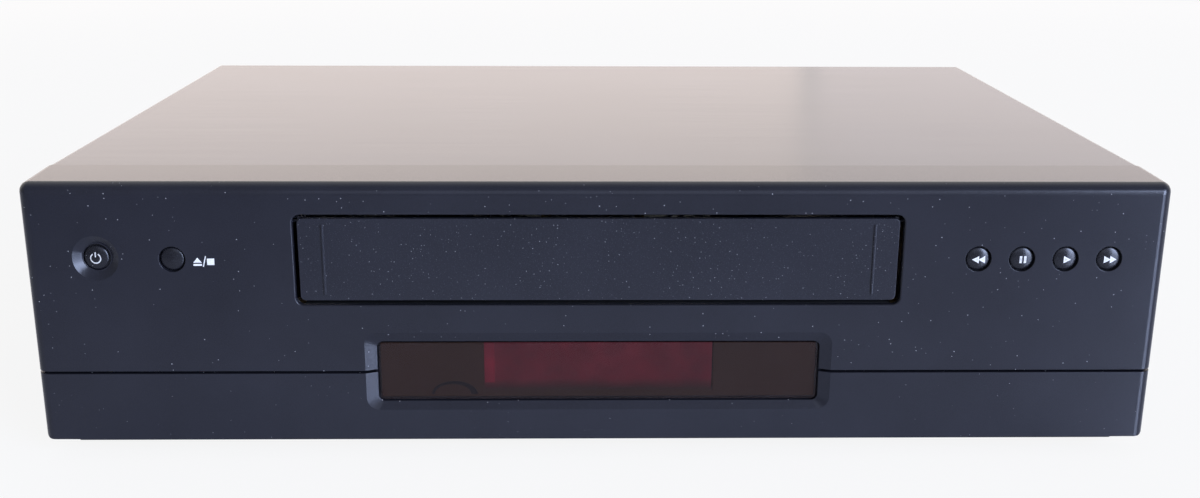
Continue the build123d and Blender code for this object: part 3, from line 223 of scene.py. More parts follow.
def outline(points, y, depth):
    """A flat shape that faces the front: an outline in X and Z, pulled forward from depth y."""
    clear_selection()
    bpy.ops.mesh.primitive_circle_add(vertices=len(points), radius=MM, fill_type="NGON")
    shape = bpy.context.object
    for vertex, (x, z) in zip(shape.data.vertices, points):
        vertex.co = (x, y, z)
    edit(shape)
    bpy.ops.mesh.select_all(action="SELECT")
    pull((0, -depth, 0))
    face_outwards()
    leave()
    return shape


def disc(centre, radius, depth, axis="Y", sides=48):
    """A cylinder round an axis, centred on a point."""
    clear_selection()
    turn = {"X": (0, math.pi / 2, 0), "Y": (math.pi / 2, 0, 0), "Z": (0, 0, 0)}[axis]
    bpy.ops.mesh.primitive_cylinder_add(vertices=sides, radius=radius, depth=depth,
                                        location=tuple(centre), rotation=turn)
    bpy.ops.object.transform_apply()
    return bpy.context.object


def bar(low, high):
    """A box between two corners."""
    clear_selection()
    low, high = Vector(low), Vector(high)
    bpy.ops.mesh.primitive_cube_add(size=1, location=tuple((low + high) / 2))
    bpy.context.object.scale = tuple(high - low)
    bpy.ops.object.transform_apply()
    return bpy.context.object


def ring(centre, outer, inner, depth):
    """A flat ring facing the front: a disc whose ends are inset and joined through the middle."""
    piece = disc(centre, outer, depth)
    edit(piece)
    pick(piece, "FACE", lambda f: abs(f.normal.y) > 0.9)
    bpy.ops.mesh.inset(thickness=outer - inner, depth=0)
    bpy.ops.mesh.bridge_edge_loops()
    leave()
    return piece


def softened_edges(obj, size, segments, least=40, **values):
    """Bevel the edges whose faces meet at more than the least angle, in degrees."""
    use(obj, "BEVEL", width=size, segments=segments, limit_method="ANGLE",
        angle_limit=math.radians(least), **values)


def screwed(obj, turns, pitch, steps):
    """Screw a section along X, in steps for each turn."""
    use(obj, "SCREW", axis="X", angle=2 * math.pi * turns, screw_offset=pitch * turns,
        steps=steps * turns, render_steps=steps * turns, use_merge_vertices=True)


def cap_ends():
    """In edit mode, close a sweep's open ends."""
    bpy.ops.mesh.select_non_manifold()
    bpy.ops.mesh.edge_face_add()
    face_outwards()
    leave()


def copy_of(obj, offset):
    """A copy with its own mesh, moved by an offset."""
    twin = obj.copy()
    twin.data = obj.data.copy()
    twin.data.transform(Matrix.Translation(Vector(offset)))
    bpy.context.collection.objects.link(twin)
    return twin


# -------- finishes
def opaque(value):
    """A colour with full alpha. An output of another node stays as it is."""
    return value if isinstance(value, bpy.types.NodeSocket) else tuple(value)[:3] + (1.0,)


class Tree:
    """A short way to write a node tree."""

    def __init__(self, tree):
        self.tree = tree

    def add(self, kind, inputs=None, **settings):
        """Add a node, set its properties and its input sockets."""
        node = self.tree.nodes.new(kind)
        for key, value in settings.items():
            setattr(node, key, value)
        for key, value in (inputs or {}).items():
            self.feed(node.inputs[key], value)
        return node

    def feed(self, socket, value):
        """Link an output to a socket, or set the socket's value."""
        if isinstance(value, bpy.types.NodeSocket):
            self.tree.links.new(value, socket)
        else:
            socket.default_value = value

    def span(self, value, low, high, start=0.3, end=0.7):
        """Map a value's range onto another range."""
        return self.add("ShaderNodeMapRange", {
            "Value": value, "From Min": start, "From Max": end, "To Min": low, "To Max": high,
        }).outputs["Result"]

    def calc(self, kind, first, second=0.0):
        """A math node."""
        return self.add("ShaderNodeMath", {0: first, 1: second}, operation=kind).outputs[0]

    def blend(self, factor, first, second):
        """Mix two shaders."""
        return self.add("ShaderNodeMixShader", {0: factor, 1: first, 2: second}).outputs[0]


class Nodes(Tree):
    """The nodes of one material."""

    def __init__(self, name):
        old = bpy.data.materials.get(name)
        if old is not None:
            bpy.data.materials.remove(old)
        self.material = bpy.data.materials.new(name)
        self.material.use_nodes = True
        super().__init__(self.material.node_tree)
        self.shader = self.tree.nodes["Principled BSDF"]
        self.place = self.add("ShaderNodeTexCoord").outputs["Object"]

    def stretched(self, scale):
        """Object coordinates, scaled along each axis."""
        mapping = self.add("ShaderNodeMapping", {"Vector": self.place, "Scale": scale})
        return mapping.outputs["Vector"]

    def noise(self, size, detail=3.0, roughness=0.5, vector=None):
        """Noise whose features are about one size across, in metres."""
        node = self.add("ShaderNodeTexNoise", {
            "Vector": vector or self.place, "Scale": 1.0 / size, "Detail": detail,
            "Roughness": roughness})
        return node.outputs["Fac"]

    def mix(self, factor, first, second):
        """Mix two colours."""
        node = self.add("ShaderNodeMix", data_type="RGBA")
        self.feed(node.inputs["Factor"], factor)
        for key, value in (("A", first), ("B", second)):
            socket = [s for s in node.inputs if s.name == key and s.type == "RGBA"][0]
            self.feed(socket, opaque(value))
        return [s for s in node.outputs if s.type == "RGBA"][0]

    def clouded(self, colour, amount, dark, light):
        """A colour that clouds between a darker and a lighter shade of it."""
        return self.mix(self.span(amount, 0, 1), shade_of(colour, dark), shade_of(colour, light))

    def bands(self, scale, direction, distortion=0.0):
        """Even bands across one axis."""
        return self.add("ShaderNodeTexWave", {
            "Vector": self.place, "Scale": scale, "Distortion": distortion},
            wave_type="BANDS", bands_direction=direction).outputs["Fac"]

    def bump(self, height, distance, strength=1.0, onto=None):
        """A bump from a height, on top of another bump if one is given."""
        node = self.add("ShaderNodeBump", {
            "Height": height, "Distance": distance, "Strength": strength})
        if onto is not None:
            self.feed(node.inputs["Normal"], onto)
        return node.outputs["Normal"]

    def shade(self, **values):
        """Set the shader's sockets."""
        for key, value in values.items():
            socket = self.shader.inputs[key.replace("_", " ").title().replace("Ior", "IOR")]
            self.feed(socket, opaque(value) if socket.type == "RGBA" else value)

    def specks(self, spacing, radius, share, gathered=0.35):
        """How strongly dust covers a place: specks of uneven size, here and there in drifts."""
        cells = self.add("ShaderNodeTexVoronoi", {"Vector": self.place, "Scale": 1.0 / spacing})
        luck = self.add("ShaderNodeSeparateColor", {"Color": cells.outputs["Color"]}).outputs
        drift = self.span(self.noise(14 * MM, 2.0), 1 - share - gathered, 1 - share + gathered,
                          0.68, 0.32)
        kept = self.calc("GREATER_THAN", luck[0], drift)
        size = self.span(luck[1], 0.5 * radius / spacing, radius / spacing)
        near = self.calc("LESS_THAN", cells.outputs["Distance"], size)
        cover = self.span(luck[2], 0.25, 0.9)
        return self.calc("MULTIPLY", self.calc("MULTIPLY", kept, near), cover)


def shade_of(colour, factor):
    """A colour made lighter or darker."""
    return tuple(min(1.0, c * factor) for c in tuple(colour)[:3])


def moulded(name, colour, roughness, grain, grain_depth, dust=None, specular=0.5):
    """Moulded plastic: fine spark-eroded grain, faint clouding and, in places, dust.

    The dust is given as the spacing and radius of its specks and the share of places that keep one.
    """
    n = Nodes(name)
    tone = n.clouded(colour, n.noise(38 * MM, 4.0), 0.86, 1.16)
    fine = n.noise(grain, 2.0, 0.6)
    tone = n.mix(n.span(fine, 0, 0.5, 0.35, 0.75), tone, shade_of(colour, 1.9))
    rough = n.span(fine, roughness - 0.05, roughness + 0.07)
    if dust is not None:
        speck = n.specks(*dust)
        tone = n.mix(speck, tone, bpy.context.scene.recorder_colours.dust)
        rough = n.calc("MAXIMUM", rough, n.calc("MULTIPLY", speck, 0.8))
    n.shade(base_color=tone, roughness=rough, specular_ior_level=specular,
            normal=n.bump(fine, grain_depth, 0.55))


def painted(name, colour, roughness, streak=0.0, specular=0.5):
    """Satin paint on sheet steel, with fine orange peel and faint rolling streaks."""
    n = Nodes(name)
    tone = n.clouded(colour, n.noise(70 * MM, 4.0), 0.85, 1.2)
    peel = n.noise(0.8 * MM, 2.0)
    lines = n.noise(1.0, 3.0, 0.6, n.stretched((9.0, 1100.0, 1100.0)))
    rough = n.span(lines, roughness - streak, roughness + streak)
    fine = n.bump(peel, 0.012 * MM, 0.5)
    n.shade(base_color=tone, roughness=rough, specular_ior_level=specular,
            normal=n.bump(lines, 0.004 * MM, 0.3, fine))


def metal(name, colour, roughness, brushed=(1, 1, 1), grain=0.25 * MM, tarnish=0.12):
    """Bare metal with a brushed or turned grain and slight tarnish."""
    n = Nodes(name)
    lines = n.noise(1.0, 3.0, 0.6, n.stretched(tuple(axis / grain for axis in brushed)))
    tone = n.clouded(colour, n.noise(11 * MM, 3.0), 1 - tarnish, 1 + tarnish / 2)
    n.shade(base_color=tone, metallic=1.0,
            roughness=n.span(lines, max(0.05, roughness - 0.08), roughness + 0.1),
            normal=n.bump(lines, 0.010 * MM, 0.3))


def rubber(name, colour, roughness=0.75):
    """Matte rubber with a slight bloom."""
    n = Nodes(name)
    fine = n.noise(0.35 * MM, 2.0)
    n.shade(base_color=n.clouded(colour, n.noise(3.5 * MM, 4.0), 0.8, 1.7),
            roughness=n.span(fine, roughness - 0.08, roughness + 0.1),
            normal=n.bump(fine, 0.03 * MM, 0.5))


def clear_plastic(name, colour, alpha, roughness):
    """Smoked plastic that lets what is behind it show faintly."""
    n = Nodes(name)
    haze = n.noise(14 * MM, 4.0)
    speck = n.specks(3.0 * MM, 0.26 * MM, 0.5)
    tone = n.clouded(colour, haze, 0.8, 1.25)
    n.shade(base_color=n.mix(n.calc("MULTIPLY", speck, 0.6), tone, (0.45, 0.45, 0.46)),
            roughness=n.span(haze, roughness, roughness + 0.05), alpha=alpha,
            specular_ior_level=0.38)


def circuit(name):
    """A phenolic board: lacquered paper with darker track shadows on a grid."""
    n = Nodes(name)
    tracks = n.add("ShaderNodeTexBrick", {
        "Vector": n.stretched((1, 1, 1)), "Scale": 1.0, "Mortar Size": 0.0009,
        "Brick Width": 0.013, "Row Height": 0.0042, "Color1": WHITE,
        "Color2": (0.8, 0.8, 0.8, 1), "Mortar": (0, 0, 0, 1)})
    grain = n.noise(2.2 * MM, 4.0)
    board = n.mix(n.span(grain, 0, 1), (0.155, 0.093, 0.036), (0.205, 0.130, 0.052))
    tone = n.mix(tracks.outputs["Fac"], board, (0.245, 0.165, 0.075))
    n.shade(base_color=tone, roughness=n.span(grain, 0.34, 0.46),
            normal=n.bump(tracks.outputs["Fac"], 0.04 * MM, 0.6))


def laminated(name):
    """A transformer core: varnished sheets seen on edge."""
    n = Nodes(name)
    sheets, dirt = n.bands(260.0, "Z", 0.4), n.noise(5 * MM, 4.0)
    tone = n.mix(sheets, (0.060, 0.043, 0.030), (0.150, 0.115, 0.085))
    n.shade(base_color=n.mix(n.span(dirt, 0, 0.6), tone, (0.03, 0.022, 0.016)), metallic=0.4,
            roughness=n.span(dirt, 0.35, 0.55), normal=n.bump(sheets, 0.08 * MM, 0.6))


def sleeve(name):
    """A capacitor's dark shrink sleeve with a pale stripe."""
    n = Nodes(name)
    stripe = n.calc("GREATER_THAN", n.bands(26.0, "X"), 0.93)
    haze = n.noise(4 * MM, 3.0)
    tone = n.mix(n.span(haze, 0, 1), (0.014, 0.018, 0.036), (0.022, 0.028, 0.055))
    n.shade(base_color=n.mix(stripe, tone, (0.30, 0.31, 0.33)), roughness=n.span(haze, 0.25, 0.36),
            normal=n.bump(haze, 0.05 * MM, 0.4))


def ink(name, colour, roughness=0.5):
    """Screen-printed ink with slightly uneven cover."""
    n = Nodes(name)
    cover = n.noise(0.5 * MM, 3.0)
    n.shade(base_color=n.clouded(colour, cover, 0.93, 1.04),
            roughness=n.span(cover, roughness - 0.05, roughness + 0.08),
            normal=n.bump(cover, 0.01 * MM, 0.4))


def painted_glow(name, colour, glow, low=None):
    """The display's red filter and segments, with a faint painted glow for the light reaching the unlit display
    through the window, fading towards the lower edge.
    """
    n = Nodes(name)
    haze = n.noise(9 * MM, 4.0)
    tone = n.clouded(colour, haze, 0.7, 1.3)
    tone = n.mix(n.calc("MULTIPLY", n.bands(900.0, "X"), 0.35), tone, shade_of(colour, 0.6))
    # the emission is painted light: the display is unlit and is no lamp
    strength = glow
    if low is not None:
        height = n.add("ShaderNodeSeparateXYZ", {"Vector": n.place}).outputs["Z"]
        strength = n.span(height, 0, glow, low, low + 5 * MM)
        tone = n.mix(n.span(height, 0, 1, low, low + 5 * MM), (0.06, 0.022, 0.012), tone)
    n.shade(base_color=tone, roughness=n.span(haze, 0.3, 0.4), emission_color=tone,
            emission_strength=strength)


class RECORDER_OT_finishes(bpy.types.Operator):
    """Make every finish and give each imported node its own"""

    bl_idname = "recorder.finishes"
    bl_label = "Finishes"

    def execute(self, context):
        colours, sizes = context.scene.recorder_colours, context.scene.recorder_sizes
        grain = sizes.grain
        fine = grain, 0.004 * MM
        panel = colours.panel, 0.20, grain, 0.008 * MM
        moulded("panel_plastic", *panel, (2.5 * MM, 0.22 * MM, 0.5), 0.46)
        moulded("flap_plastic", *panel, (2.4 * MM, 0.22 * MM, 0.5), 0.46)
        moulded("door_plastic", shade_of(colours.panel, 1.05), 0.22, *fine,
                (1.3 * MM, 0.20 * MM, 0.55), 0.48)
        moulded("button_plastic", colours.button, 0.24, *fine, (2.4 * MM, 0.24 * MM, 0.4))
        # colour, roughness, and the grain's size and depth in millimetres
        for name, colour, rough, size, depth in (
                ("chassis", (0.012, 0.012, 0.013), 0.5, 0.5, 0.03),
                ("black", (0.008, 0.008, 0.009), 0.42, 0.4, 0.02),
                ("socket", (0.010, 0.010, 0.011), 0.4, 0.4, 0.02),
                ("chip", (0.012, 0.012, 0.013), 0.55, 0.3, 0.02),
                ("receiver", (0.004, 0.003, 0.003), 0.2, 0.5, 0.004),
                ("pulley", (0.52, 0.52, 0.50), 0.4, 0.5, 0.01),
                ("gear", (0.56, 0.56, 0.53), 0.38, 0.5, 0.01),
                ("reel", (0.32, 0.33, 0.34), 0.42, 0.4, 0.01)):
            moulded(f"{name}_plastic", colour, rough, size * MM, depth * MM)
        painted("cover_paint", colours.cover, 0.23, 0.012, 0.8)
        painted("rear_paint", (0.020, 0.020, 0.022), 0.42, 0.03)
        painted("screw_steel", (0.018, 0.018, 0.020), 0.34, 0.04)
        rubber("foot_rubber", (0.018, 0.018, 0.018))
        rubber("belt_rubber", (0.012, 0.012, 0.012), 0.6)
        rubber("roller_rubber", (0.022, 0.022, 0.023), 0.65)
        # colour, roughness, and how the brushed grain runs along each axis
        for name, colour, rough, *brushed in (
                ("spring_steel", (0.55, 0.55, 0.56), 0.28),
                ("shaft_steel", (0.60, 0.60, 0.62), 0.16, (0.2, 0.2, 3)),
                ("arm_steel", (0.50, 0.50, 0.49), 0.34),
                ("deck_steel", (0.42, 0.42, 0.40), 0.40, (0.1, 2, 2)),
                ("carriage_steel", (0.42, 0.42, 0.40), 0.36, (2, 0.1, 2)),
                ("holder_steel", (0.40, 0.40, 0.385), 0.36, (0.1, 2, 2)),
                ("tinned_steel", (0.55, 0.55, 0.54), 0.30, (2, 0.15, 2)),
                ("motor_steel", (0.45, 0.45, 0.46), 0.30, (2, 0.1, 0.1)),
                ("head_metal", (0.62, 0.61, 0.60), 0.14),
                ("nickel", (0.58, 0.56, 0.52), 0.20, (0.3, 3, 0.3)),
                ("heat_sink_aluminium", (0.55, 0.55, 0.56), 0.36, (2, 2, 0.1)),
                ("drum_aluminium", (0.62, 0.62, 0.63), 0.24, (0.05, 0.05, 4), 0.35 * MM),
                ("head_drum_aluminium", (0.68, 0.68, 0.69), 0.16, (0.05, 0.05, 4), 0.35 * MM),
                ("bearing_brass", (0.55, 0.40, 0.17), 0.28),
                ("guide_brass", (0.55, 0.40, 0.17), 0.26)):
            metal(name, colour, rough, *brushed)
        clear_plastic("window_acrylic", (0.020, 0.0125, 0.0125), 0.58, 0.16)
        # the display is unlit, so these glows are painted light that stands in for light coming in through the
        # smoked window
        painted_glow("display_glass", shade_of(colours.display, 0.16), 0.02)
        painted_glow("display_red", colours.display, 0.16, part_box("display_window")[0].z + 3.0 * MM)
        painted_glow("display_bright", (0.36, 0.018, 0.04), 0.16)
        # near-black foam: partly the seal's own colour, partly painted shade that darkens the gap under the
        # cassette door
        rubber("seal_foam", (0.004, 0.004, 0.004), 0.9)
        circuit("circuit_board")
        laminated("transformer_core")
        sleeve("capacitor_sleeve")
        ink("white_ink", colours.printing)
        for name, colour, *rough in (
                ("red_ink", (0.45, 0.03, 0.03)),
                ("window_brown", (0.085, 0.032, 0.012), 0.6),
                ("window_black", (0.006, 0.004, 0.004), 0.6),
                ("ring_white", (0.62, 0.62, 0.60), 0.35),
                ("ring_red", (0.42, 0.02, 0.02), 0.35),
                ("ring_yellow", (0.60, 0.42, 0.03), 0.35),
                ("wire_enamel", (0.34, 0.10, 0.03), 0.3),
                ("ribbon_grey", (0.30, 0.31, 0.33), 0.45)):
            ink(name, colour, *rough)
        for part in frame["record"]["subparts"]:
            mesh = frame["nodes"][part["node"]].data
            mesh.materials.clear()
            mesh.materials.append(bpy.data.materials[part["material_slot"]])
        return {"FINISHED"}


# -------- front
def softened(node, name, width, body, finish):
    """A copy of a node with its sharp edges slightly rounded, in the node's place."""
    sharp = 16  # degrees: flatter folds than this are shaded smooth
    clear_selection()
    twin = bpy.data.objects.new(name, frame["nodes"][node].data.copy())
    bpy.context.collection.objects.link(twin)
    edit(twin)
    bpy.ops.mesh.select_all(action="SELECT")
    bpy.ops.mesh.remove_doubles(threshold=0.002 * MM)
    bpy.ops.mesh.dissolve_limited(angle_limit=math.radians(0.2))
    softened_edges(twin, width, 6, 38, use_clamp_overlap=False, face_strength_mode="FSTR_ALL")
    done(twin, name, finish, body, sharp)
    edit(twin)
    bpy.ops.mesh.select_all(action="DESELECT")
    bpy.ops.mesh.edges_select_sharp(sharpness=math.radians(sharp))
    bpy.ops.mesh.mark_sharp()
    leave()
    # flat faces keep their own direction, and the roundings carry all of the turn
    use(twin, "WEIGHTED_NORMAL", mode="FACE_AREA", weight=100, keep_sharp=True,
        use_face_influence=True)
    clear_selection()
    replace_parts(twin, node)


class RECORDER_OT_front_edges(bpy.types.Operator):
    """Round the sharp edges of the panel, the flap and the cassette door"""

    bl_idname = "recorder.front_edges"
    bl_label = "Front edges"

    def execute(self, context):
        width = context.scene.recorder_sizes.edge
        softened("front_fascia", "fascia_moulding", width, "case", "panel_plastic")
        softened("front_flap", "flap_moulding", width, "flap", "flap_plastic")
        softened("cassette_door", "door_moulding", width, "door", "door_plastic")
        return {"FINISHED"}


class RECORDER_OT_buttons(bpy.types.Operator):
    """Build the six round front buttons, each with a domed cap, a flange and a stem"""

    bl_idname = "recorder.buttons"
    bl_label = "Buttons"

    def execute(self, context):
        dome = context.scene.recorder_sizes.dome
        for key in ("power", "eject_stop", "rewind", "pause", "play", "fast_forward"):
            node = f"{key}_button"
            low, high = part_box(node)
            x, _, z = middle(node)
            flange = (high.x - low.x) / 2
            wall, collar_depth = FACE_Y + BUTTON_WALL, 1.2 * MM
            radius, rim = flange - 1.8 * MM, low.y + dome
            cap = disc((x, (rim + wall) / 2, z), radius, wall - rim, "Y", 96)
            edit(cap)
            pick(cap, "FACE", lambda f: f.normal.y < -0.9)
            # each step inwards is flatter than the last
            for inwards, forwards in ((0.03, 0.16), (0.05, 0.14), (0.08, 0.16), (0.12, 0.16),
                                      (0.16, 0.14), (0.18, 0.12), (0.16, 0.08), (0.12, 0.04)):
                bpy.ops.mesh.inset(thickness=radius * inwards, depth=dome * forwards)
            leave()
            collar = disc((x, wall + collar_depth / 2, z), flange, collar_depth, "Y", 64)
            stem = disc((x, (wall + high.y) / 2 + collar_depth / 2, z), 2.0 * MM,
                        high.y - wall - collar_depth, "Y", 32)
            softened_edges(collar, 0.25 * MM, 2)
            softened_edges(stem, 0.3 * MM, 2)
            whole = done(merged([cap, collar, stem]), f"{key}_cap", "button_plastic", node,
                         40)
            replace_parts(whole, node)
        return {"FINISHED"}


class RECORDER_OT_slot_seal(bpy.types.Operator):
    """Lay the foam seal along the cassette slot's lower lip; its near-black foam is partly the seal's own colour,
    partly painted shade for the dark gap under the door
    """

    bl_idname = "recorder.slot_seal"
    bl_label = "Slot seal"

    def execute(self, context):
        half, top = 112 * MM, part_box("cassette_door")[0].z - 1.75 * MM
        # the strip's near-black is partly painted shade for the gap below the door
        strip = bar((-half, FACE_Y + 2.62 * MM, top - 1.6 * MM), (half, FACE_Y + 8.0 * MM, top))
        softened_edges(strip, 0.4 * MM, 3)
        done(strip, "slot_seal_shade_strip", "seal_foam", "case")
        return {"FINISHED"}


# -------- printed marks
def triangle(x, z, width, height, towards=1):
    """Corners of a triangle that points right (1) or left (-1), centred on x and z."""
    tip, back = x + towards * width / 2, x - towards * width / 2
    return [(back, z - height / 2), (back, z + height / 2), (tip, z)]


def corners(left, low, right, high):
    """Corners of a rectangle between two of them."""
    return [(left, low), (left, high), (right, high), (right, low)]


def square(x, z, width, height):
    """Corners of a rectangle centred on x and z."""
    return corners(x - width / 2, z - height / 2, x + width / 2, z + height / 2)


def arc(x, z, across, up, turns):
    """Points at the given turns on an ellipse round x and z."""
    return [(x + across * math.cos(a), z + up * math.sin(a)) for a in turns]


def front_of(node):
    """Middle of a node in X and Z, with its foremost Y between them."""
    x, _, z = middle(node)
    return x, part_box(node)[0].y, z


def mark(name, shapes, y, body, finish="white_ink", onto=None):
    """Printed shapes on the panel or, laid onto its dome, on one button."""
    depth = bpy.context.scene.recorder_sizes.ink
    if onto is None:
        pieces = [outline(points, y + 0.02 * MM, depth + 0.02 * MM) for points in shapes]
        return done(merged(pieces), name, finish, body)
    flat = merged([outline(points, y - MM, 0) for points in shapes])
    edit(flat)
    bpy.ops.mesh.select_all(action="SELECT")
    bpy.ops.mesh.quads_convert_to_tris()
    for _ in range(2):
        bpy.ops.mesh.subdivide(number_cuts=1)
    use(flat, "SHRINKWRAP", target=bpy.data.objects[onto], wrap_method="PROJECT",
        use_project_y=True, use_negative_direction=True, use_positive_direction=True,
        wrap_mode="ON_SURFACE")
    use(flat, "SOLIDIFY", thickness=depth, offset=0)
    return done(flat, name, finish, body, 50)


class RECORDER_OT_button_marks(bpy.types.Operator):
    """Print the marks on the power and transport buttons"""

    bl_idname = "recorder.button_marks"
    bl_label = "Button marks"

    def execute(self, context):
        sizes = context.scene.recorder_sizes
        tall = sizes.mark_height
        # in millimetres: each mark's shift to the right, and its shapes' places and width
        for key, shift, places, width in (
                ("rewind", 0.10, (-1.15, 1.25), 2.6), ("pause", 0.45, (-0.82, 0.82), 0.9),
                ("play", 0.0, (0.75,), 2.7), ("fast_forward", 0.62, (-1.15, 1.15), 2.5)):
            x, y, z = front_of(f"{key}_button")
            x, z, width = x + shift * MM, z - MARK_DROP, width * MM
            if key == "pause":
                shapes = [square(x + place * MM, z, width, tall * 0.95) for place in places]
            else:
                towards = -1 if key == "rewind" else 1
                shapes = [triangle(x + place * MM, z, width, tall, towards) for place in places]
            mark(f"{key}_mark", shapes, y, f"{key}_button", onto=f"{key}_cap")
        # the power mark: an open ring and a short bar
        x, y, z = front_of("power_button")
        x, z = x - 0.15 * MM, z - 0.2 * MM
        outer = sizes.ring_radius + sizes.stroke / 2
        inner = sizes.ring_radius - sizes.stroke / 2
        opening = math.radians(33)
        turns = [math.pi / 2 + opening + i * (2 * math.pi - 2 * opening) / 40 for i in range(41)]
        curve = arc(x, z, outer, outer, turns) + arc(x, z, inner, inner, reversed(turns))
        mark("power_mark", [curve, square(x, z + 1.4 * MM, sizes.stroke * 1.1, 1.8 * MM)], y,
             "power_button", onto="power_cap")
        return {"FINISHED"}


class RECORDER_OT_eject_print(bpy.types.Operator):
    """Print the eject and stop signs beside their button"""

    bl_idname = "recorder.eject_print"
    bl_label = "Eject and stop print"

    def execute(self, context):
        x, _, z = front_of("eject_stop_button")
        x, z = x + 12.9 * MM, z - 0.8 * MM
        up = [(x - 5.0 * MM, z - 0.45 * MM), (x - 3.4 * MM, z + 1.5 * MM),
              (x - 1.8 * MM, z - 0.45 * MM)]
        lean, half = 0.55 * MM, 2.1 * MM
        left, right = x - 1.0 * MM, x - 0.62 * MM
        slash = [(left - lean, z - half), (left + lean, z + half), (right + lean, z + half),
                 (right - lean, z - half)]
        foot = square(x - 3.4 * MM, z - 1.3 * MM, 3.2 * MM, 0.75 * MM)
        stop = square(x + 1.5 * MM, z - 0.1 * MM, 2.7 * MM, 2.5 * MM)
        mark("eject_stop_print", [up, foot, slash, stop], FACE_Y, "case")
        return {"FINISHED"}


class RECORDER_OT_key_marks(bpy.types.Operator):
    """Print minus, plus and a dot on the three keys behind the flap"""

    bl_idname = "recorder.key_marks"
    bl_label = "Key marks"

    def execute(self, context):
        x, y, z = front_of("programme_down_button")
        mark("programme_down_mark", [square(x, z, 2.6 * MM, 0.6 * MM)], y, "programme_down_button")
        x, y, z = front_of("programme_up_button")
        long, thin = 1.3 * MM, 0.3 * MM
        plus = [(-long, -thin), (-long, thin), (-thin, thin), (-thin, long), (thin, long),
                (thin, thin), (long, thin), (long, -thin), (thin, -thin), (thin, -long),
                (-thin, -long), (-thin, -thin)]
        mark("programme_up_mark", [[(x + a, z + b) for a, b in plus]], y, "programme_up_button")
        x, y, z = front_of("record_button")
        dot = arc(x, z, 1.3 * MM, 1.3 * MM, [a * math.pi / 16 for a in range(32)])
        mark("record_mark", [dot], y, "record_button", finish="red_ink")
        return {"FINISHED"}


# -------- display
def sheet(name, shapes, y, depth, finish):
    """Thin shapes that face the front, joined as one piece of the case."""
    done(merged([outline(points, y, depth) for points in shapes]), name, finish, "case")


class RECORDER_OT_display(bpy.types.Operator):
    """Build the display: its red filter, its unlit figures and what lies behind the window"""

    bl_idname = "recorder.display"
    bl_label = "Display"

    def execute(self, context):
        low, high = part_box("display_module")
        centre, across = (DISPLAY_LEFT + DISPLAY_RIGHT) / 2, DISPLAY_RIGHT - DISPLAY_LEFT
        mid = middle("display_module")[2]
        # the red filter lies in the module's front recess
        y, depth = low.y + 0.42 * MM, 0.3 * MM
        plate = outline(square(centre, mid - 0.3 * MM, across, high.z - low.z - 1.4 * MM), y, depth)
        edit(plate)
        pick(plate, "EDGE", lambda e: all(v.co.y < y - 0.25 * MM for v in e.verts))
        bpy.ops.mesh.bevel(offset=0.15 * MM, segments=2)
        done(plate, "display_filter", "display_red", "case")
        # four seven-segment figures and a colon, unlit
        wide, tall, line = 6.2 * MM, 4.4 * MM, 0.8 * MM
        figures = []
        for x in (-22 * MM, -11.5 * MM, 3.5 * MM, 14 * MM):
            figures += [square(x, mid + level * tall, wide - 2 * line, line)
                        for level in (-1, 0, 1)]
            figures += [square(x + side * wide / 2, mid + half * tall / 2, line, tall - line)
                        for side in (-1, 1) for half in (-1, 1)]
        figures += [square(-4 * MM, mid + level * 2 * MM, 0.9 * MM, 0.9 * MM) for level in (-1, 1)]
        sheet("display_segments", figures, y - depth, 0.05 * MM, "display_glass")
        # on the window's back: a red filter sheet, with a brighter bar at its left end
        near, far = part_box("display_window")
        y, film = far.y - 0.06 * MM, 0.04 * MM
        bottom, top = near.z + 0.5 * MM, far.z - 0.5 * MM
        foot = bottom + 2.6 * MM
        # the filter sheet and the bar carry the display's painted glow
        sheet("window_filter", [square(centre, (foot + top) / 2, across, top - foot)], y, film,
              "display_red")
        sheet("window_bar", [square(DISPLAY_LEFT + 2.1 * MM, (foot + top) / 2 + 1.4 * MM, 3.8 * MM,
                                    top - foot - 3.4 * MM)], y - film, 0.02 * MM, "display_bright")
        # the brown print round the display, and a black arch on the window's back in front of the receiver: partly
        # the receiver's own black, partly painted shade for the dark cavity behind the window
        half, end, sill = 44.4 * MM, far.x - 0.5 * MM, near.z + 3.1 * MM
        sheet("window_print", [corners(-end, bottom, -half, top), corners(half, bottom, end, top),
                               corners(-half, bottom, half, sill)], y, film, "window_brown")
        low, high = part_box("infrared_receiver")
        x, reach, tall = (low.x + high.x) / 2, (high.x - low.x) / 2, high.z - low.z
        turns = [i * math.pi / 24 for i in range(25)]
        arch = arc(x, low.z, reach, tall, turns)
        arch += arc(x - 0.7 * MM, low.z, reach - 1.9 * MM, tall - 1.3 * MM, reversed(turns))
        # the arch is partly painted shade: a black sheet where the receiver sits in the dark behind the window
        sheet("receiver_shade_arch", [arch], y - 0.05 * MM, film, "window_black")
        return {"FINISHED"}


# -------- small fittings
def screw_head(centre, axis, out, radius, rise):
    """A pan head with a cross recess. Axis is X, Y or Z and out is +1 or -1 along it."""
    letter = "XYZ".index(axis)
    away = Vector([out if i == letter else 0 for i in range(3)])
    head = disc(Vector(centre) + away * rise / 2, radius, rise, axis, 32)
    edit(head)
    pick(head, "FACE", lambda f: f.normal.dot(away) > 0.9)
    bpy.ops.mesh.select_mode(type="EDGE")
    bpy.ops.mesh.region_to_loop()
    bpy.ops.mesh.bevel(offset=rise * 0.6, segments=4)
    leave()
    # each cutter is a box along one of the two axes across the head
    slot_length, slot_width = radius * 1.1, radius * 0.22
    start = Vector(centre) + away * rise * 0.35
    end = Vector(centre) + away * rise * 2
    across = [i for i in range(3) if i != letter]
    for first, second in (across, across[::-1]):
        reach = Vector((0, 0, 0))
        reach[first], reach[second] = slot_length / 2, slot_width / 2
        cutter = bar([min(a, b) - r for a, b, r in zip(start, end, reach)],
                     [max(a, b) + r for a, b, r in zip(start, end, reach)])
        use(head, "BOOLEAN", object=cutter, operation="DIFFERENCE", solver="EXACT")
        bpy.data.objects.remove(cutter)
    return head


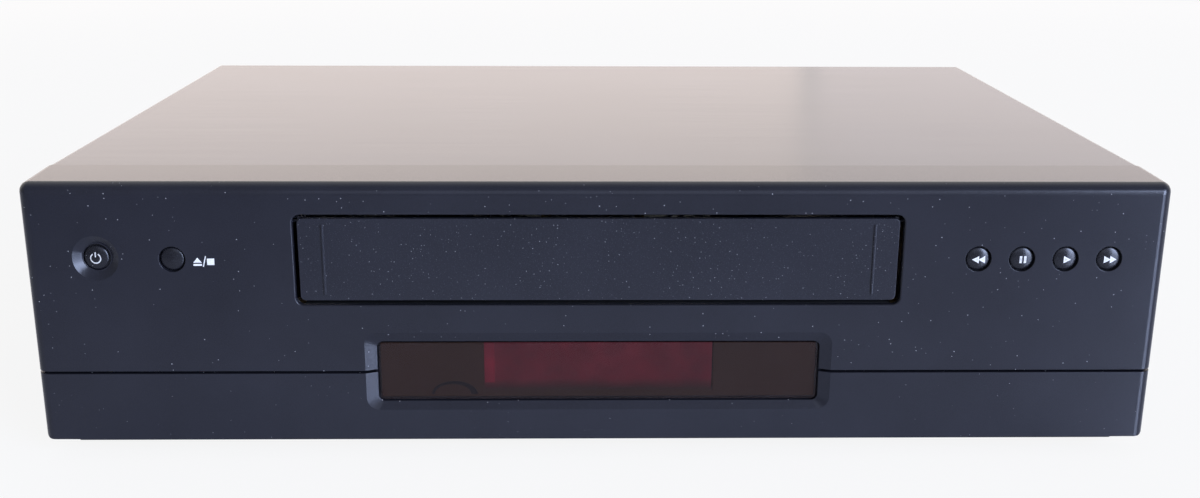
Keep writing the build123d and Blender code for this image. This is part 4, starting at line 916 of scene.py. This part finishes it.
class RECORDER_OT_cover_screws(bpy.types.Operator):
    """Build the cover's side screws with cross recesses"""

    bl_idname = "recorder.cover_screws"
    bl_label = "Cover screws"

    def execute(self, context):
        low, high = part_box("cover_screws")
        cover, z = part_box("top_cover")[1].x, middle("cover_screws")[2]
        head, shank, reach = 3.4 * MM, 1.45 * MM, 6.0 * MM
        pieces = []
        for side in (-1, 1):
            for y in (low.y + head, high.y - head):
                pieces.append(screw_head((side * cover, y, z), "X", side, head, high.x - cover))
                pieces.append(disc((side * (cover - reach / 2), y, z), shank, reach, "X", 24))
        screws = merged(pieces)
        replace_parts(done(screws, "side_screws", "screw_steel", "case"),
                    "cover_screws")
        return {"FINISHED"}


class RECORDER_OT_feet(bpy.types.Operator):
    """Build the four feet: a tapered rubber ring with a sunk screw"""

    bl_idname = "recorder.feet"
    bl_label = "Feet"

    def execute(self, context):
        low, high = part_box("feet")
        radius, top = 12.0 * MM, high.z
        x, y = low.x + radius, low.y + radius
        foot = disc((x, y, top / 2), radius, top, "Z", 64)
        edit(foot)
        pick(foot, "FACE", lambda f: f.normal.z < -0.9)
        bpy.ops.transform.resize(value=(0.92, 0.92, 1), center_override=(x, y, 0))
        # from the underside inwards: the pad's rim, the screw's well and the seat of its head
        for inwards, upwards in ((1.2 * MM, 0), (4.0 * MM, 4.5 * MM), (2.0 * MM, 0.6 * MM)):
            bpy.ops.mesh.inset(thickness=inwards, depth=0)
            pull((0, 0, upwards))
        bpy.ops.mesh.remove_doubles(threshold=0.001 * MM)
        pick(foot, "EDGE", lambda e: e.calc_length() < 2.5 * MM
             and abs(e.verts[0].co.z - e.verts[1].co.z) < 0.01 * MM
             and e.calc_face_angle(0) > math.radians(40))
        bpy.ops.mesh.bevel(offset=0.4 * MM, segments=3)
        leave()
        across, along = high.x - low.x - 2 * radius, high.y - low.y - 2 * radius
        feet = merged([foot] + [copy_of(foot, (dx * across, dy * along, 0))
                                for dx, dy in ((1, 0), (0, 1), (1, 1))])
        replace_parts(done(feet, "rubber_feet", "foot_rubber", "case"), "feet")
        heads = [screw_head((x, y, 5.0 * MM), "Z", -1, 2.6 * MM, 1.6 * MM)
                 for x in (low.x + radius, high.x - radius)
                 for y in (low.y + radius, high.y - radius)]
        done(merged(heads), "foot_screws", "screw_steel", "case")
        return {"FINISHED"}


class RECORDER_OT_door_spring(bpy.types.Operator):
    """Wind the cassette door's torsion spring"""

    bl_idname = "recorder.door_spring"
    bl_label = "Door spring"

    def execute(self, context):
        low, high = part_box("door_spring")
        wire = context.scene.recorder_sizes.wire
        _, y, z = next(j for j in frame["joints"] if j["name"] == "door_hinge")["pos_m"]
        radius, turns = 2.15 * MM, 5
        pitch = (high.x - low.x - wire) / turns
        clear_selection()
        bpy.ops.mesh.primitive_circle_add(vertices=10, radius=wire / 2)
        coil = bpy.context.object
        # the wire's section stands in the plane through the axis, then screws along X
        for vertex in coil.data.vertices:
            vertex.co = (vertex.co.x, 0, radius + vertex.co.y)
        screwed(coil, turns, pitch, 24)
        coil.data.transform(Matrix.Translation((low.x + wire / 2, y, z)))
        tail = disc((low.x + wire / 2, y - 1.3 * MM, z + radius), wire / 2, 2.8 * MM, "Y", 10)
        spring = merged([coil, tail])
        edit(spring)
        bpy.ops.mesh.select_all(action="SELECT")
        bpy.ops.mesh.remove_doubles(threshold=0.002 * MM)
        cap_ends()
        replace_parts(done(spring, "torsion_spring", "spring_steel", "case", 60),
                    "door_spring")
        return {"FINISHED"}


class RECORDER_OT_loading_worm(bpy.types.Operator):
    """Cut the loading worm's thread"""

    bl_idname = "recorder.loading_worm"
    bl_label = "Loading worm"

    def execute(self, context):
        low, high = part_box("loading_worm")
        x, y, z = middle("loading_worm")
        pitch, turns = context.scene.recorder_sizes.thread, 5
        outer, root, reach = 3.95 * MM, 2.7 * MM, 20.0 * MM
        start = x - reach / 2 + 0.3 * MM
        core = disc((x, y, z), root, reach, "X", 40)
        shaft = disc((x, y, z), 1.0 * MM, high.x - low.x, "X", 24)
        clear_selection()
        bpy.ops.mesh.primitive_circle_add(vertices=4, radius=MM, fill_type="NOTHING")
        thread = bpy.context.object
        crest, foot, sunk = 0.35 * MM, 1.2 * MM, root - 0.2 * MM
        section = [(-foot, sunk), (-crest, outer), (crest, outer), (foot, sunk)]
        for vertex, (along, out) in zip(thread.data.vertices, section):
            vertex.co = (along, 0, out)
        screwed(thread, turns, pitch, 32)
        edit(thread)
        cap_ends()
        thread.data.transform(Matrix.Translation((start + foot, y, z)))
        worm = merged([core, shaft, thread])
        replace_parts(done(worm, "threaded_worm", "gear_plastic", "loading_worm"),
                    "loading_worm")
        return {"FINISHED"}


class RECORDER_OT_socket_rings(bpy.types.Operator):
    """Ring the phono sockets with their colours, front and rear"""

    bl_idname = "recorder.socket_rings"
    bl_label = "Socket rings"

    def execute(self, context):
        low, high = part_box("front_sockets")
        y, z = low.y + 6.0 * MM - 1.4 * MM, middle("front_sockets")[2]
        first, last = low.x + 5.8 * MM, high.x - 5.8 * MM
        rings = [("front", "yellow", (first, y, z)), ("front", "white", ((first + last) / 2, y, z)),
                 ("front", "red", (last, y, z))]
        low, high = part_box("line_sockets")
        y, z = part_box("rear_panel")[1].y + 1.6 * MM, low.z + 8.0 * MM
        rings += [("rear", "red", (low.x + 6.0 * MM, y, z)),
                  ("rear", "white", (high.x - 6.0 * MM, y, z))]
        for side, colour, place in rings:
            done(ring(place, *PHONO_RING), f"{side}_ring_{colour}", f"ring_{colour}", "case")
        return {"FINISHED"}


# -------- stage
class RECORDER_OT_stage(bpy.types.Operator):
    """Set up the floor, the light and the camera"""

    bl_idname = "recorder.stage"
    bl_label = "Stage"

    def execute(self, context):
        s = context.scene.recorder_stage
        context.scene.view_settings.view_transform = "Standard"
        clear_selection()
        bpy.ops.mesh.primitive_plane_add(size=2 * s.floor_half)
        floor = context.object
        floor.name = "floor"
        n = Nodes("floor_white")
        path = n.add("ShaderNodeLightPath").outputs
        glossy = path["Is Glossy Ray"]
        # reflections see the floor with painted light: pale and bluish near the part, and painted shade further in
        # front of it where the lamps' light falls off
        depth = n.add("ShaderNodeSeparateXYZ", {"Vector": n.place}).outputs["Y"]
        painted_falloff = n.mix(n.span(depth, 0, 1, -0.55, -0.22), (0.16, 0.16, 0.17), (0.86, 0.87, 0.94))
        n.shade(base_color=n.mix(glossy, (0.88, 0.88, 0.88), painted_falloff),
                roughness=n.span(glossy, 0.8, 0.11, 0, 1),
                specular_ior_level=n.span(glossy, 0, 1, 0, 1), ior=2.2)
        glow = n.add("ShaderNodeEmission", {"Color": WHITE, "Strength": 1.0}).outputs[0]
        # the camera sees most of the floor as plain white
        share = n.calc("MULTIPLY", path["Is Camera Ray"], 0.88)
        n.feed(n.tree.nodes["Material Output"].inputs["Surface"],
               n.blend(share, n.shader.outputs[0], glow))
        floor.data.materials.append(n.material)

        world = bpy.data.worlds.new("studio")
        world.use_nodes = True
        w = Tree(world.node_tree)
        w.tree.nodes.clear()
        # white where it is seen; the room in front of the part is a little darker in reflections
        way = w.add("ShaderNodeTexCoord").outputs["Generated"]
        side = w.add("ShaderNodeSeparateXYZ", {"Vector": way}).outputs["Y"]
        seen, mirrored, lit = [
            w.add("ShaderNodeBackground", {"Color": shade, "Strength": strength}).outputs[0]
            for shade, strength in ((WHITE, 1.0), (WHITE, w.span(side, s.room, 0.9, -0.3, 0.5)),
                                    ((0.94, 0.96, 1.0, 1), s.ambient))]
        path = w.add("ShaderNodeLightPath").outputs
        clear = w.calc("MAXIMUM", path["Is Glossy Ray"], path["Is Transmission Ray"])
        surface = w.blend(path["Is Camera Ray"], w.blend(clear, lit, mirrored), seen)
        w.add("ShaderNodeOutputWorld", {"Surface": surface})
        context.scene.world = world

        front = (0, -0.15, 0.05)
        for name, place, aim, width, height, power, shade in (
                ("window", (4.006, -4.299, 1.704), front, 2.9, 3.4, s.window, (0.57, 0.68, 1.0)),
                ("haze", (0.736, -5.74, 2.10), front, 4.2, 3.2, s.haze, (0.66, 0.74, 1.0)),
                ("backdrop_left", (-0.75, 1.6, 0.40), (-0.4, 0, 0.11), 2.4, 0.7,
                 s.backdrop * 0.75, (1, 0.77, 0.68)),
                ("backdrop_right", (1.0, 1.6, 0.40), (0.6, 0, 0.11), 1.2, 0.7,
                 s.backdrop * 0.30, (1, 0.77, 0.72))):
            bpy.ops.object.light_add(type="AREA", location=place)
            lamp = context.object
            lamp.name = f"{name}_lamp"
            lamp.rotation_euler = (Vector(aim) - Vector(place)).to_track_quat("-Z", "Y").to_euler()
            lamp.data.shape, lamp.data.size, lamp.data.size_y = "RECTANGLE", width, height
            lamp.data.energy, lamp.data.color = power, shade
            lamp.visible_camera = False

        bpy.ops.object.camera_add(location=tuple(s.camera_place))
        camera = context.object
        ahead = Vector((math.sin(s.yaw) * math.cos(s.pitch), math.cos(s.yaw) * math.cos(s.pitch),
                        -math.sin(s.pitch)))
        right = Vector((math.cos(s.yaw), -math.sin(s.yaw), 0))
        up = right.cross(ahead)
        tilted = math.cos(s.roll) * right + math.sin(s.roll) * up
        upright = math.cos(s.roll) * up - math.sin(s.roll) * right
        camera.rotation_euler = Matrix((tilted, upright, -ahead)).transposed().to_euler()
        camera.data.lens, camera.data.sensor_width = s.lens, 36.0
        camera.data.clip_start = 0.01
        context.scene.camera = camera
        clear_selection()
        return {"FINISHED"}


class RECORDER_PT_panel(bpy.types.Panel):
    """Lists the recorder's operators and settings"""

    bl_idname = "RECORDER_PT_panel"
    bl_label = "Video cassette recorder"
    bl_space_type = "VIEW_3D"
    bl_region_type = "UI"
    bl_category = "Recorder"

    def draw(self, context):
        for operator in OPERATORS:
            self.layout.operator(operator.bl_idname)
        for group in ("colours", "sizes", "stage"):
            settings = getattr(context.scene, f"recorder_{group}")
            box = self.layout.box()
            for key in settings.bl_rna.properties.keys():
                if key not in ("rna_type", "name"):
                    box.prop(settings, key)


OPERATORS = (
    RECORDER_OT_finishes, RECORDER_OT_front_edges, RECORDER_OT_buttons, RECORDER_OT_slot_seal,
    RECORDER_OT_button_marks, RECORDER_OT_eject_print, RECORDER_OT_key_marks,
    RECORDER_OT_display, RECORDER_OT_cover_screws, RECORDER_OT_feet, RECORDER_OT_door_spring,
    RECORDER_OT_loading_worm, RECORDER_OT_socket_rings, RECORDER_OT_stage)
CLASSES = (RecorderColours, RecorderSizes, StageSettings) + OPERATORS + (RECORDER_PT_panel,)


def register():
    """Register the classes and attach their settings to the scene."""
    for cls in CLASSES:
        bpy.utils.register_class(cls)
    bpy.types.Scene.recorder_colours = bpy.props.PointerProperty(type=RecorderColours)
    bpy.types.Scene.recorder_sizes = bpy.props.PointerProperty(type=RecorderSizes)
    bpy.types.Scene.recorder_stage = bpy.props.PointerProperty(type=StageSettings)


def unregister():
    """Take the settings and classes away again."""
    del bpy.types.Scene.recorder_colours
    del bpy.types.Scene.recorder_sizes
    del bpy.types.Scene.recorder_stage
    for cls in reversed(CLASSES):
        bpy.utils.unregister_class(cls)


def main():
    """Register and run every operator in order."""
    register()
    for operator in OPERATORS:
        group, name = operator.bl_idname.split(".")
        getattr(getattr(bpy.ops, group), name)()


if __name__ == "__main__":
    main()
